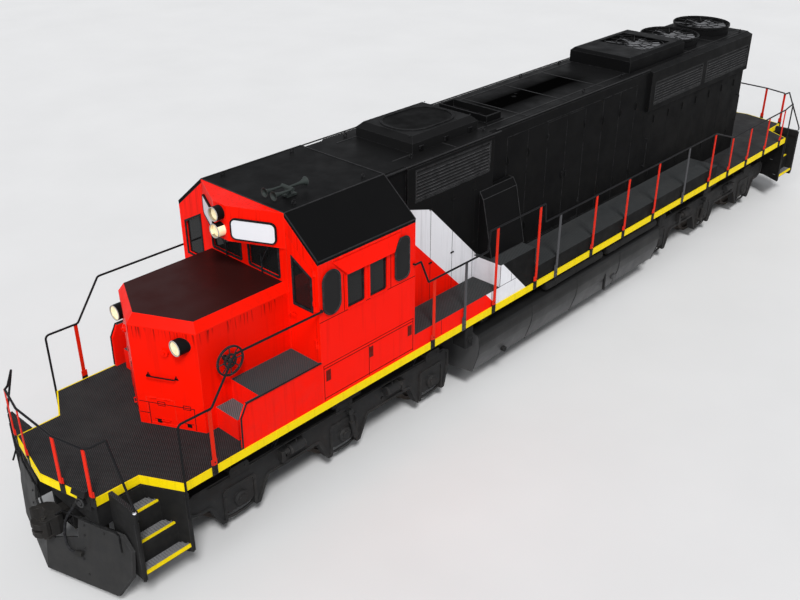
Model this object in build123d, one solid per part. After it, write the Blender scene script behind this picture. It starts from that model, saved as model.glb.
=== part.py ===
from build123d import *
import math
import os

# Six-axle road-switcher diesel locomotive, +X towards the short hood, +Y left, +Z up.
# Heights are measured from the rail head. save() lifts everything by the wheel flange height,
# so that the flanges stand on Z = 0.

# Deck and underframe
deck_height = 1630
deck_half_width = 1560
deck_corner_x = 10000
deck_end_half_width = 975
deck_point = 210
deck_thickness = 60
edge_band_height = 125
edge_band_thickness = 20
notch_outer_x = 9050
notch_inner_x = 9350
step_inner_inset = 15
sill_bottom = 1130
sill_half_width = 440
sill_web = 60
sill_flange = 40
end_sill_half_width = 950
end_sill_length = 260
bolster_half_length = 300
bolster_half_width = 1250
cross_bearer_spacing = 1450
cross_bearer_thickness = 60
cross_bearer_depth = 260
cross_bearer_tip_depth = 110
cross_bearer_half_width = 1300

# Stepwells
step_front_x = 9800
step_wall = 20
step_bottom = 480
step_bar_depth = 50
step_post_bottom = 580
step_post_rise = 15
tread_heights = [620, 953, 1283]
tread_depth = 180
tread_thickness = 40
riser_thickness = 8
step_post_radius = 22

# Levels that the cab, both hoods and the roof pieces are set from
cab_floor_height = 2290
cab_eave = cab_floor_height + 1608
cab_crown = cab_eave + 522
hood_top = cab_crown - 20
nose_drip_height = cab_floor_height + 920
nose_top_height = nose_drip_height + 135

# Superstructure lengths, measured inwards from the deck corners
front_platform = 1814
nose_length = 1585
nose_point = 457
cab_length = 1958
neck_length = 473
intake_length = 2120
rear_platform = 2500
radiator_length = 4400

# Short hood
nose_half_width = 894
nose_wall = 50
nose_top_inset = 94
nose_lamp_height = nose_drip_height - 200
nose_lamp_spacing = 1400
nose_lamp_radius = 115
nose_lamp_length = 180
nose_grab_height = nose_drip_height - 740
nose_grab_start = 220
nose_grab_length = 420
nose_grab_reach = 60
nose_grab_radius = 10
nose_hatch_start = 130
nose_hatch_length = 440
nose_hatch_bottom = 40
nose_hatch_height = 420
nose_hinge_radius = 11
nose_hinge_length = 90
nose_hinge_inset = 70
nose_hinge_sink = 3

# Battery box landings beside the short hood
landing_height = cab_floor_height
landing_length = 1099
landing_step_height = landing_height - 320
landing_step_length = 290
landing_step_half_width = 1350
landing_half_width = 1500
landing_panel_thickness = 40
landing_panel_length = 1469
landing_panel_chamfer = 190
landing_panel_corner = 100
landing_panel_lean = 10
landing_panel_rise = 20

# Cab
cab_half_width = 1540
cab_wall = 60
cab_crown_half_width = 909
cab_roof_thickness = 60
cab_floor_thickness = 50
glass_thickness = 10
side_window_height = 550
side_window_bottom = cab_eave - 918
side_window_top = side_window_bottom + side_window_height
side_window_width = 360
side_window_pillar = 90
side_window_rear_gap = 617
window_corner = 35
sunshade_top = cab_eave - 108
sunshade_drop = 250
sunshade_reach = 44
sunshade_thickness = 8
sunshade_front_notch = 250
sunshade_rear_notch = 170
sunshade_front_overlap = 260
sunshade_rear_overlap = 290
drip_rail_height = cab_eave - 83
drip_rail_depth = 14
deflector_gap = 110
deflector_height = cab_eave - 528
deflector_length = 680
deflector_width = 180
deflector_neck_width = 105
deflector_foot_length = 440
deflector_thickness = 16
panel_groove_depth = 6
panel_groove_width = 9
cab_belt_height = cab_floor_height + 670
cab_panel_bottom = 1680
cab_panel_top = cab_floor_height - 100
cab_panel_margin = 40
windshield_inner_y = 100
windshield_outer_y = 740
windshield_height = 480
windshield_bottom = cab_eave - 498
windshield_top = windshield_bottom + windshield_height
end_window_inner_y = 1030
end_window_outer_y = 1400
end_window_height = 610
end_window_bottom = cab_eave - 808
end_window_top = end_window_bottom + end_window_height
end_window_rake = 100
door_inner_y = 920
door_outer_y = 1470
door_top_drop = 211
door_sill = 10
door_gap = 6
door_thickness = 40
hinge_radius = 12
hinge_offset = 15
hinge_barrel = 70
hinge_gap = 0.3
seat_spacing = 2000
stand_shift = 70
stand_length = 590
stand_height = 1250
stand_slope_length = 320
stand_slope_drop = 250
stand_outer_y = 430
stand_inner_y = 90

# Headlight and number board housing above the windshields
brow_height = cab_eave - 8
brow_reach = 374
brow_flat_half_width = 139
headlight_height = brow_height + 150
headlight_spacing = 250
headlight_heights = [headlight_height, headlight_height + headlight_spacing]
headlight_radius = 105
headlight_length = 125
headlight_recess = 40
headlight_wall = 12
board_inner_y = 200
board_outer_y = 790
board_height = 290
board_bottom = brow_height + 60
board_top = board_bottom + board_height
board_thickness = 25
board_corner = 70

# Long hood
hood_shoulder = 45
hood_wall = 50
neck_half_width = 910
intake_half_width = 950
engine_half_width = 850
radiator_band_half_width = 920
radiator_band_bottom = hood_top - 850
radiator_band_top = hood_top - 50
intake_grille_bottom = hood_top - 640
intake_grille_top = hood_top - 100
intake_grille_margin = 80
intake_grille_length = 1860
radiator_grille_bottom = hood_top - 750
radiator_grille_top = hood_top - 270
radiator_pillar = 155
radiator_band_foot = 60
radiator_band_head = 40
grille_frame = 30
louvre_thickness = 12
louvre_pitch = 55
raised_walk_height = 290
raised_walk_length = 10040
fan_box_length = 2140
fan_box_start = 560
fan_box_half_width = 700
fan_box_rise = 290
fan_box_chamfer = 60

# Blower box and duct on the left walkway
blower_box_start = 2163
blower_box_length = 980
blower_box_height = 2330
blower_duct_length = 930
blower_duct_setback = 90
blower_duct_ridge = 3470
blower_duct_shoulder = 3345
blower_duct_shoulder_y = 1030
blower_duct_foot_y = 1260

# Roof pieces
filter_hatch_length = 1600
filter_hatch_start = 943
filter_hatch_half_width = 620
filter_hatch_rise = 250
filter_hatch_chamfer = 90
stack_length = 390
stack_start = 310
stack_half_width = 530
stack_rise = 120
stack_wall = 30

# Cooling fans: distance behind the radiator section's front, radius and top of the shroud
fan_1_station = 730
fan_2_station = 2220
fan_3_station = 3670
fan_radius = 590
fan_shroud_rise = 200
fan_tip_gap = 12
fan_shroud_wall = 25
fan_blade_count = 8
fan_hub_radius = 150
fan_hub_height = 120
fan_hub_chamfer = 25
fan_blade_root = 20
fan_blade_reach = 30
fan_root_chord = 190
fan_tip_chord = 350
fan_root_pitch = 38
fan_tip_pitch = 16
fan_blade_thickness = 12
fan_top_clearance = 60
fan_cap_overhang = 45
fan_cap_height = 60
fan_cap_lip = 15
fan_cap_edge = 10
fan_opening_length = 980
fan_opening_width = 1100
fan_box_plate = 20
fan_motor_radius = 140
fan_motor_height = 200
guard_bar = 12
guard_spoke_count = 12
fan_strut_width = 50
fan_strut_height = 40
fan_stem_radius = 60

# Hood doors that open onto the engine room
hood_door_width = 600
hood_door_bottom = 1980
hood_door_top = hood_top - 250
hood_door_start = 1700
hood_seam_width = 9
hood_seam_depth = 6
hood_seam_bottom = 1950
hood_seam_top = hood_top - 220
hood_latch_width = 50
hood_latch_inset = 40
hood_latch_thickness = 25
hood_latch_bottom = 2950
hood_latch_top = 3070
hood_hinge_radius = 9
hood_hinge_inset = 300
hood_leaf_width = 30

# Engine block
engine_length = 4700
engine_front_gap = 150
engine_block_half_width = 650
engine_top = 3500

# Trucks
truck_half_spacing = 5860
axle_spacing = 2065
wheel_radius = 508
flange_height = 28
wheel_back_to_back = 1353
wheel_width = 140
wheel_rim = 65
wheel_plate = 32
axle_radius = 95
journal_radius = 75
journal_end_y = 1110
side_frame_inner_y = 1010
side_frame_outer_y = 1170
side_frame_top = 1010
side_frame_bottom = 600
side_frame_outboard = 3000
side_frame_inboard = 2510
pedestal_half_gap = 250
pedestal_tip = 210
pedestal_tip_half_width = 350
pedestal_root_half_width = 540
journal_box_half_width = 240
journal_box_half_height = 170
running_gap = 0.3
centre_plate_radius = 360
centre_plate_height = 1000
centre_plate_gap = 20
transom_half_length = 160
transom_bottom = 620
motor_half_width = 520
motor_length = 900
motor_bottom = 190
motor_top = 880
motor_chamfer = 90
transom_offset = 1180
transom_inset = 120
centre_beam_half_width = 330
centre_beam_depth = 130
centre_beam_drop = 60
end_beam_bottom = 780
end_beam_length = 120
end_beam_inset = 40
frame_rim = 45
frame_recess = 22
frame_corner = 30
frame_hole_radius = 35
frame_hole_pitch = 155
frame_hole_height = 730
frame_shoulder = 920
frame_shoulder_length = 150
frame_toe_height = 700
frame_toe_length = 200
frame_flange_width = 45
frame_flange_depth = 60
pedestal_depth = 130
journal_cap_radius = 120
journal_cap_reach = 45
spring_seat_half_length = 170
spring_seat_height = 100
brake_cylinder_radius = 78
brake_cylinder_length = 300
brake_cylinder_height = 880
brake_rod_radius = 22
brake_lever_width = 70
damper_radius = 42
damper_rod_radius = 26
damper_foot_x = 185
damper_foot_height = 420
damper_head_x = 90
damper_head_height = 905
shoe_gap = 8
shoe_thickness = 50
shoe_half_angle = 18
shoe_width = 85
hanger_width = 40

# Fuel tank and air reservoirs
tank_front_x = 3000
tank_length = 6100
tank_bottom = 340
tank_half_width = 1550
tank_top = 1235
tank_corner = 70
tank_flat_half_width = 1000
tank_bilge_y = 1410
tank_waist_lean = 25
tank_shoulder_lean = 20
tank_waist_bottom = 770
tank_waist_top = 950
tank_shoulder_height = 1160
tank_top_half_width = 1300
tank_filler_x = -1400
tank_filler_height = 640
tank_filler_radius = 55
tank_filler_y = 1515
tank_cap_thickness = 25
tank_cap_radius = 70
reservoir_radius = 100
reservoir_y = 1430
reservoir_height = 1330
reservoir_front_x = 1000
reservoir_length = 1900
reservoir_gap = 150
reservoir_end_radius = 60
reservoir_strap_width = 60
reservoir_strap_thickness = 6
reservoir_strap_inset = 300

# Couplers, plow and pilot
coupler_height = 876
coupler_reach = 10490
coupler_pivot_x = 9500
coupler_shank = 80
coupler_pin_radius = 40
coupler_pin_root = 10
coupler_head_length = 430
coupler_head_height = 150
coupler_guard_height = 110
coupler_knuckle_height = 110
coupler_corner = 12
knuckle_pin_radius = 28
knuckle_slot = 50
draft_pocket_half_width = 240
draft_pocket_wall = 35
draft_pocket_depth = 190
draft_pocket_length = 250
plow_tip_x = 10360
plow_bottom = 110
plow_sweep = 0.277
plow_lean = 0.14
plow_thickness = 40
plow_bevel = 28
plow_shoulder_y = 1290
plow_toe_y = 1220
plow_toe_rise = 40
plow_side_bottom = 540
plow_side_top = 940
notch_shelf_y = 150
notch_shelf_height = 655
notch_corner_height = 820
notch_corner_inset = 10
plow_centre_height = 600
plow_arm_width = 80
plow_arm_rise = 190
plow_half_width = 1450
plow_top = 1130
plow_notch_half_width = 560
pilot_thickness = 25
pilot_half_width = 1400
pilot_bottom = 200
pilot_toe_y = 1150
pilot_side_bottom = 560
pilot_top = 1050
pilot_arm_bottom = 300

# Handrails
rail_radius = 16
rail_bend = 60
stanchion_width = 55
stanchion_thickness = 14
foot_width = 90
foot_height = 130
foot_thickness = 12
deck_rail_height = 2440
walk_rail_height = 2760
box_rail_height = 3110
end_rail_height = 2420

# Small parts
brake_wheel_x = 7780
brake_wheel_height = landing_height + 390
brake_wheel_radius = 225
brake_wheel_y = 1030
brake_wheel_rim = 26
brake_wheel_inner_radius = 105
brake_wheel_spokes = 8
brake_wheel_spoke_radius = 8
brake_wheel_hub_radius = 38
horn_setback = 450
horn_offset = 490
horn_spacing = 95
horn_height = 120
horn_bell_length = 340
horn_throat_radius = 16
horn_mouth_radius = 70
horn_wall = 6
horn_manifold_radius = 30
horn_manifold_overhang = 20
horn_foot_thickness = 30
receptacle_y = 790
receptacle_width = 230
receptacle_bottom = 1410
receptacle_top = 1750

# Stations along X that follow from the lengths above
nose_front_x = deck_corner_x - front_platform
cab_front_x = nose_front_x - nose_length
cab_rear_x = cab_front_x - cab_length
neck_rear_x = cab_rear_x - neck_length
intake_rear_x = neck_rear_x - intake_length
hood_rear_x = -deck_corner_x + rear_platform
radiator_front_x = hood_rear_x + radiator_length
blower_front_x = cab_rear_x - blower_box_start
blower_rear_x = blower_front_x - blower_box_length
raised_walk_top = deck_height + raised_walk_height
raised_walk_rear_x = cab_rear_x - raised_walk_length
roof_slope = (cab_crown - cab_eave) / (cab_half_width - cab_crown_half_width)


def box(x0, x1, y0, y1, z0, z1):
    """Box between two opposite corners."""
    return Pos((x0 + x1) / 2, (y0 + y1) / 2, (z0 + z1) / 2) * Box(abs(x1 - x0), abs(y1 - y0), abs(z1 - z0))


def prism_x(points, x0, x1):
    """Outline of (y, z) points, extruded from x0 to x1."""
    return extrude(Plane.YZ.offset(x0) * make_face(Polyline(*points, close=True)), x1 - x0)


def prism_y(points, y0, y1):
    """Outline of (x, z) points, extruded from y0 to y1."""
    return extrude(Plane.XZ.offset(-y0) * make_face(Polyline(*points, close=True)), y0 - y1)


def prism_z(points, z0, z1):
    """Outline of (x, y) points, extruded from z0 to z1."""
    return extrude(Plane.XY.offset(z0) * make_face(Polyline(*points, close=True)), z1 - z0)


def rounded(points, radius):
    """Face through (x, y) points with its corners rounded."""
    face = make_face(Polyline(*points, close=True))
    return fillet(face.vertices(), radius)


def rod(start, end, radius):
    """Cylinder between two points."""
    direction = Vector(*end) - Vector(*start)
    bar = Cylinder(radius, direction.length, align=(Align.CENTER, Align.CENTER, Align.MIN))
    return Plane(origin=Vector(*start), z_dir=direction) * bar


def pipe(points, radius, bend):
    """Round bar along a route of runs joined by arcs."""
    path = FilletPolyline(*points, radius=bend) if len(points) > 2 else Line(*points)
    return sweep(Plane(origin=path @ 0, z_dir=path % 0) * Circle(radius), path=path)


def both_sides(shapes):
    """The shapes and their mirror images across the centreline."""
    return list(shapes) + [mirror(shape, about=Plane.XZ) for shape in shapes]


def both_ends(shapes):
    """The shapes and their mirror images across the middle of the length."""
    return list(shapes) + [mirror(shape, about=Plane.YZ) for shape in shapes]


def fuse(shapes):
    """One shape out of several that touch or overlap."""
    shapes = list(shapes)
    return shapes[0].fuse(*shapes[1:]) if len(shapes) > 1 else shapes[0]


def seam_frame(x0, x1, y0, y1):
    """Four bars along the sides of a rectangle in the XY plane, to cut a panel seam in a face at Z = 0."""
    width = panel_groove_width
    depth = panel_groove_depth
    return [box(x0, x1, y0, y0 + width, -depth, depth), box(x0, x1, y1 - width, y1, -depth, depth),
            box(x0, x0 + width, y0, y1, -depth, depth), box(x1 - width, x1, y0, y1, -depth, depth)]


def save(node, shapes):
    """Write one node, lifted so that the wheel flanges stand on Z = 0."""
    solids = [solid for shape in shapes for solid in shape.solids()]
    export_step(Pos(0, 0, flange_height) * Compound(solids), f"parts/{node}.step")


# Deck, underframe and what hangs below it

def deck_outline(margin):
    """Deck plan, drawn in by a margin."""
    quarter = [
        (notch_outer_x, deck_half_width),
        (notch_inner_x, deck_end_half_width + step_inner_inset),
        (deck_corner_x, deck_end_half_width),
    ]
    right_front = [(x, -y) for x, y in reversed(quarter)]
    front = quarter + [(deck_corner_x + deck_point, 0)] + right_front
    rear = [(-x, y) for x, y in reversed(front)]
    face = make_face(Polyline(*(front + rear), close=True))
    return offset(face, -margin, kind=Kind.INTERSECTION) if margin else face


def end_structure(end, end_x, under_deck):
    """End sill, truck bolster with its centre plate, and coupler pocket with its pin, at one end."""
    inner_x = end * (end_x - end_sill_length)
    sill = box(inner_x, end * end_x, -end_sill_half_width, end_sill_half_width, sill_bottom, under_deck)
    centre_x = end * truck_half_spacing
    bolster_bottom = sill_bottom + centre_plate_gap
    bolster = box(centre_x - bolster_half_length, centre_x + bolster_half_length, -bolster_half_width,
                  bolster_half_width, bolster_bottom, under_deck)
    plate = rod((centre_x, 0, centre_plate_height), (centre_x, 0, bolster_bottom), centre_plate_radius)
    pocket_bottom = coupler_height - draft_pocket_depth
    pocket = box(end * (coupler_pivot_x - draft_pocket_length), end * end_x, -draft_pocket_half_width,
                 draft_pocket_half_width, pocket_bottom, sill_bottom)
    inside = draft_pocket_half_width - draft_pocket_wall
    pocket -= box(end * (coupler_pivot_x - draft_pocket_length + 2 * draft_pocket_wall), end * deck_corner_x,
                  -inside, inside, pocket_bottom + draft_pocket_wall, coupler_height + 2 * coupler_shank)
    pin = rod((end * coupler_pivot_x, 0, pocket_bottom + coupler_pin_root),
              (end * coupler_pivot_x, 0, sill_bottom + coupler_pin_root), coupler_pin_radius)
    return [sill, bolster, plate, pocket, pin]


def underframe():
    """Deck plate on two centre sills with bolsters, tapered cross bearers and draft pockets."""
    under_deck = deck_height - deck_thickness
    deck = extrude(Plane.XY.offset(under_deck) * deck_outline(edge_band_thickness), deck_thickness)
    end_x = deck_corner_x - edge_band_thickness
    pieces = [deck]
    for side in (-1, 1):
        inner = side * (sill_half_width - sill_web)
        outer = side * sill_half_width
        pieces.append(box(-end_x, end_x, inner, outer, sill_bottom, under_deck))
        flange_inner = side * (sill_half_width - 3 * sill_web)
        pieces.append(box(-end_x, end_x, flange_inner, outer + side * sill_web, sill_bottom,
                          sill_bottom + sill_flange))
    for end in (-1, 1):
        pieces += end_structure(end, end_x, under_deck)
    count = int(2 * (notch_outer_x - bolster_half_length) / cross_bearer_spacing)
    half = [(sill_half_width, under_deck - cross_bearer_depth),
            (cross_bearer_half_width, under_deck - cross_bearer_tip_depth),
            (cross_bearer_half_width, under_deck)]
    bearer = half + [(-y, z) for y, z in reversed(half)]
    for index in range(count):
        x = (index - (count - 1) / 2) * cross_bearer_spacing
        pieces.append(prism_x(bearer, x - cross_bearer_thickness / 2, x + cross_bearer_thickness / 2))
    return fuse(pieces)


def deck_edge():
    band = deck_outline(0) - deck_outline(edge_band_thickness)
    return extrude(Plane.XY.offset(deck_height - edge_band_height) * band, edge_band_height)


def step_well():
    """Front left stepwell: slanted inner wall, front wall, three treads and their risers."""
    top = deck_height - edge_band_height
    inner_y = deck_end_half_width + step_inner_inset
    slope = (notch_inner_x - notch_outer_x) / (deck_half_width - inner_y)

    def slanted_x(y):
        return notch_inner_x - slope * (y - inner_y)

    slant = prism_z([(slanted_x(inner_y) - step_wall, inner_y), (slanted_x(inner_y), inner_y),
                     (notch_outer_x, deck_half_width), (notch_outer_x - step_wall, deck_half_width)],
                    step_bottom, top)
    side = box(notch_inner_x - step_wall, step_front_x, inner_y - step_wall, inner_y, step_bottom, top)
    front = box(step_front_x - step_wall, step_front_x, inner_y - step_wall, deck_half_width,
                step_bottom, top)
    bar = box(step_front_x - step_bar_depth, step_front_x + step_wall / 2, inner_y, deck_half_width,
              top - step_wall / 2, deck_height)
    pieces = [slant, side, front, bar]
    root = step_wall / 2
    for index, height in enumerate(tread_heights):
        outer = deck_half_width - index * tread_depth
        inner = outer - tread_depth
        pieces.append(prism_z([(slanted_x(inner) - root, inner), (slanted_x(outer) - root, outer),
                               (step_front_x - root, outer), (step_front_x - root, inner)],
                              height - tread_thickness, height))
        upper = tread_heights[index + 1] - root if index + 1 < len(tread_heights) else top
        riser = inner + riser_thickness
        pieces.append(prism_z([(slanted_x(inner) - root, inner), (slanted_x(riser) - root, riser),
                               (step_front_x - root, riser), (step_front_x - root, inner)],
                              height - root, upper))
    post = rod((step_front_x, deck_half_width, step_post_bottom),
               (step_front_x, deck_half_width, deck_height + step_post_rise), step_post_radius)
    pieces.append(post)
    return fuse(pieces)


def plow_face_x(y, z):
    """Front face of the plow, swept back to the sides and leaning back to the top."""
    return plow_tip_x - plow_sweep * abs(y) - plow_lean * (z - plow_bottom)


def plow_slab(outline, thickness, setback=0):
    """Left plow plate through an outline of (y, z) points."""
    points = [Vector(plow_face_x(y, z) - setback, y, z) for y, z in outline]
    face = make_face(Polyline(*points, close=True))
    normal = Vector(1, plow_sweep, plow_lean).normalized()
    return extrude(face, -thickness, dir=normal)


def plow():
    """Two swept plates with bevelled upper and outer borders, on arms from the end sill."""
    outline = [(0, plow_bottom), (plow_toe_y, plow_bottom + plow_toe_rise),
               (plow_half_width, plow_side_bottom), (plow_half_width, plow_side_top),
               (plow_shoulder_y, plow_top), (plow_notch_half_width, plow_top),
               (plow_notch_half_width - notch_corner_inset, notch_corner_height),
               (notch_shelf_y, notch_shelf_height), (0, plow_centre_height)]
    slab = plow_slab(outline, plow_thickness)
    normal = Vector(1, plow_sweep, plow_lean).normalized()
    front = max(slab.faces(), key=lambda face: face.center().dot(normal))
    border = [edge for edge in front.edges() if edge.center().Y > plow_notch_half_width + plow_bevel
              and edge.center().Z > plow_bottom + 2 * plow_toe_rise]
    plates = both_sides([chamfer(border, plow_bevel)])
    behind = plow_slab(outline, 4 * end_sill_length) - slab
    end_x = deck_corner_x - edge_band_thickness
    sill_x = end_x - end_sill_length
    inner = plow_notch_half_width + plow_arm_width / 2
    outer = inner + plow_arm_width
    low = plow_bottom + plow_arm_rise
    upper_arm = box(sill_x, plow_tip_x, inner, outer, notch_corner_height - plow_toe_rise, sill_bottom)
    lower_arm = box(sill_x, plow_tip_x, inner, outer, low, low + plow_arm_width)
    post = box(sill_x, sill_x + plow_arm_width, inner, outer, low, notch_corner_height)
    forward = box(end_x, plow_tip_x, inner, outer, 0, sill_bottom)
    arms = fuse([upper_arm, lower_arm, post])
    arms = fuse([arms - forward, arms & behind])
    return fuse(plates + both_sides([arms]))


def rear_pilot():
    """Plain sheet under the rear end, notched round the coupler, on two arms."""
    half = [(pilot_toe_y, pilot_bottom), (pilot_half_width, pilot_side_bottom), (pilot_half_width, pilot_top),
            (plow_notch_half_width, pilot_top),
            (plow_notch_half_width - notch_corner_inset, notch_corner_height),
            (notch_shelf_y, notch_shelf_height)]
    outline = half + [(-y, z) for y, z in reversed(half)]
    x = -deck_corner_x
    plate = prism_x(outline, x - pilot_thickness, x)
    inner = plow_notch_half_width + plow_arm_width / 2
    arm = box(x, x + end_sill_length, inner, inner + plow_arm_width, pilot_arm_bottom, sill_bottom)
    return fuse([plate] + both_sides([arm]))


def coupler(end):
    """Knuckle coupler: shank, head with its guard arm and pin lugs, and the knuckle on its pin."""
    base = coupler_reach - coupler_head_length
    head = [(base, -coupler_shank), (base + 60, -150), (base + 130, -190), (base + 215, -190),
            (base + 160, -95), (base + 165, -30), (base + 210, 20), (base + 230, 60), (base + 225, 200),
            (base + 120, 215), (base + 40, 195), (base, 110)]
    guard = [(base + 100, -150), (base + 230, -262), (base + 284, -244), (base + 265, -200),
             (base + 195, -150), (base + 155, -95)]
    lug = [(base + 190, 60), (base + 190, 208), (base + 285, 208), (base + 325, 165), (base + 325, 110),
           (base + 285, 62)]
    nose = [(base + 231, 64), (base + 231, 200), (base + 285, 205), (base + 360, 170), (base + 410, 90),
            (base + 405, 10), (base + 370, -30), (base + 325, -35), (base + 310, 0), (base + 325, 50),
            (base + 290, 62)]

    def layer(points, low, high):
        return extrude(Plane.XY.offset(coupler_height + low) * rounded(points, coupler_corner), high - low)

    shank = box(coupler_pivot_x - 1.5 * coupler_shank, base + 20, -coupler_shank, coupler_shank,
                coupler_height - coupler_shank, coupler_height + coupler_shank)
    body = fuse([shank, layer(head, -coupler_head_height, coupler_head_height),
                 layer(guard, -coupler_guard_height, coupler_guard_height),
                 layer(lug, coupler_knuckle_height + running_gap, coupler_head_height),
                 layer(lug, -coupler_head_height, -coupler_knuckle_height - running_gap)])
    pin_x = base + 270
    pin_y = 135
    body -= rod((coupler_pivot_x, 0, 0), (coupler_pivot_x, 0, deck_height), coupler_pin_radius + running_gap)
    body -= rod((pin_x, pin_y, 0), (pin_x, pin_y, deck_height), knuckle_pin_radius + running_gap)
    pin_reach = coupler_head_height + knuckle_pin_radius
    pin = rod((pin_x, pin_y, coupler_height - pin_reach), (pin_x, pin_y, coupler_height + pin_reach),
              knuckle_pin_radius)
    slot = box(base + 330, coupler_reach, -pin_y, 2 * pin_y, coupler_height - knuckle_slot / 2,
               coupler_height + knuckle_slot / 2)
    knuckle = layer(nose, -coupler_knuckle_height, coupler_knuckle_height) - slot
    shapes = [body, fuse([knuckle, pin])]
    return shapes if end > 0 else [shape.rotate(Axis.Z, 180) for shape in shapes]


def fuel_tank():
    """Tank with rounded flanks, notched over the centre sills, with a filler on each side."""
    half = [(tank_flat_half_width, tank_bottom), (tank_bilge_y, tank_bottom + tank_corner),
            (tank_half_width - tank_waist_lean, tank_waist_bottom), (tank_half_width, tank_waist_top),
            (tank_half_width - tank_shoulder_lean, tank_shoulder_height), (tank_top_half_width, tank_top)]
    face = rounded(half + [(-y, z) for y, z in reversed(half)], tank_corner)
    tank = extrude(Plane.YZ.offset(tank_front_x - tank_length) * face, tank_length)
    sill_space = sill_half_width + 3 * sill_web
    tank -= box(-deck_corner_x, deck_corner_x, -sill_space, sill_space, sill_bottom, deck_height)
    neck = rod((tank_filler_x, tank_top_half_width, tank_filler_height),
               (tank_filler_x, tank_filler_y, tank_filler_height), tank_filler_radius)
    cap = rod((tank_filler_x, tank_filler_y, tank_filler_height),
              (tank_filler_x, tank_filler_y + tank_cap_thickness, tank_filler_height), tank_cap_radius)
    return fuse([tank] + both_sides([fuse([neck, cap])]))


def air_reservoir(front_x):
    """Round-ended reservoir hung under the deck on two straps."""
    rear_x = front_x - reservoir_length
    shell = rod((rear_x, reservoir_y, reservoir_height), (front_x, reservoir_y, reservoir_height),
                reservoir_radius)
    shell = fillet(shell.edges().filter_by(GeomType.CIRCLE), reservoir_end_radius)
    straps = []
    half = reservoir_strap_width / 2
    for x in (rear_x + reservoir_strap_inset, front_x - reservoir_strap_inset):
        straps.append(box(x - half, x + half, reservoir_y - reservoir_radius / 2,
                          reservoir_y + reservoir_radius / 2, reservoir_height, deck_height - deck_thickness))
        band = rod((x - half, reservoir_y, reservoir_height), (x + half, reservoir_y, reservoir_height),
                   reservoir_radius + reservoir_strap_thickness)
        straps.append(band)
    return fuse([shell] + straps)


# Walkways, short hood and landings

def raised_walkway(side):
    pieces = [
        box(cab_rear_x, neck_rear_x, neck_half_width, cab_half_width, deck_height, raised_walk_top),
        box(neck_rear_x, intake_rear_x, intake_half_width, cab_half_width, deck_height, raised_walk_top),
        box(intake_rear_x, raised_walk_rear_x, engine_half_width, cab_half_width, deck_height,
            raised_walk_top),
    ]
    if side > 0:
        blower = box(blower_front_x, blower_rear_x, engine_half_width, cab_half_width, deck_height,
                     blower_box_height)
        blower -= box(neck_rear_x, intake_rear_x, 0, intake_half_width, deck_height, hood_top)
        pieces.append(blower)
    walkway = fuse(pieces)
    return walkway if side > 0 else mirror(walkway, about=Plane.XZ)


def blower_duct():
    front_x = blower_front_x - blower_duct_setback
    outline = [(engine_half_width, blower_box_height), (engine_half_width, blower_duct_ridge),
               (intake_half_width, blower_duct_ridge), (blower_duct_shoulder_y, blower_duct_shoulder),
               (blower_duct_foot_y, blower_box_height)]
    duct = prism_x(outline, front_x - blower_duct_length, front_x)
    return duct - box(neck_rear_x, intake_rear_x, 0, intake_half_width, deck_height, hood_top)


def battery_box():
    """Left landing: box, access step and outer panel with its chamfered front corner."""
    landing_front = cab_front_x + landing_length
    landing = box(cab_front_x, landing_front, nose_half_width, landing_half_width, deck_height,
                  landing_height)
    step = box(landing_front, landing_front + landing_step_length, nose_half_width, landing_step_half_width,
               deck_height, landing_step_height)
    foot = cab_front_x + landing_panel_length
    head = foot - landing_panel_lean
    top = landing_height + landing_panel_rise
    panel = prism_y([(cab_front_x, deck_height), (cab_front_x, top), (head - landing_panel_corner, top),
                     (head, top - landing_panel_chamfer), (foot, deck_height)],
                    landing_half_width, landing_half_width + landing_panel_thickness)
    return fuse([landing, step, panel])


def nose_plan(inset, apex_inset):
    return [(cab_front_x, -nose_half_width + inset), (nose_front_x - inset / 2, -nose_half_width + inset),
            (nose_front_x + nose_point - apex_inset, 0), (nose_front_x - inset / 2, nose_half_width - inset),
            (cab_front_x, nose_half_width - inset)]


def nose_face():
    """Plane of the slanted left front face, from the apex at deck height, facing out."""
    return Plane(origin=(nose_front_x + nose_point, 0, deck_height), x_dir=(-nose_point, nose_half_width, 0),
                 z_dir=(nose_half_width, nose_point, 0))


def nose_fittings():
    """Grab iron and hatch hinges, on the slanted left front face with x from the apex and y up."""
    grab_y = nose_grab_height - deck_height
    grab_end = nose_grab_start + nose_grab_length
    root = -nose_grab_radius / 2
    route = [(nose_grab_start, grab_y, root), (nose_grab_start, grab_y, nose_grab_reach),
             (grab_end, grab_y, nose_grab_reach), (grab_end, grab_y, root)]
    fittings = [pipe(route, nose_grab_radius, 2 * nose_grab_radius)]
    hinge_y = nose_hatch_bottom + nose_hatch_height
    hinge_z = nose_hinge_radius - nose_hinge_sink
    for start in (nose_hatch_start + nose_hinge_inset,
                  nose_hatch_start + nose_hatch_length - nose_hinge_inset - nose_hinge_length):
        fittings.append(rod((start, hinge_y, hinge_z), (start + nose_hinge_length, hinge_y, hinge_z),
                            nose_hinge_radius))
    return fittings


def nose_shell():
    """Hollow short hood with a sloped upper band, a hatch and a grab iron on its front."""
    outer = prism_z(nose_plan(0, 0), deck_height, nose_drip_height)
    inner = prism_z(nose_plan(nose_wall, nose_wall), deck_height, nose_drip_height - nose_wall)
    lower = Plane.XY.offset(nose_drip_height) * make_face(Polyline(*nose_plan(0, 0), close=True))
    upper = Plane.XY.offset(nose_top_height) * make_face(
        Polyline(*nose_plan(nose_top_inset, nose_top_inset + 19), close=True))
    shell = fuse([outer - inner, loft([lower, upper], ruled=True)])
    seams = seam_frame(nose_hatch_start, nose_hatch_start + nose_hatch_length, nose_hatch_bottom,
                       nose_hatch_bottom + nose_hatch_height)
    for seam in seams:
        shell -= nose_face() * seam
    return fuse([shell] + [nose_face() * fitting for fitting in nose_fittings()])


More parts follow.
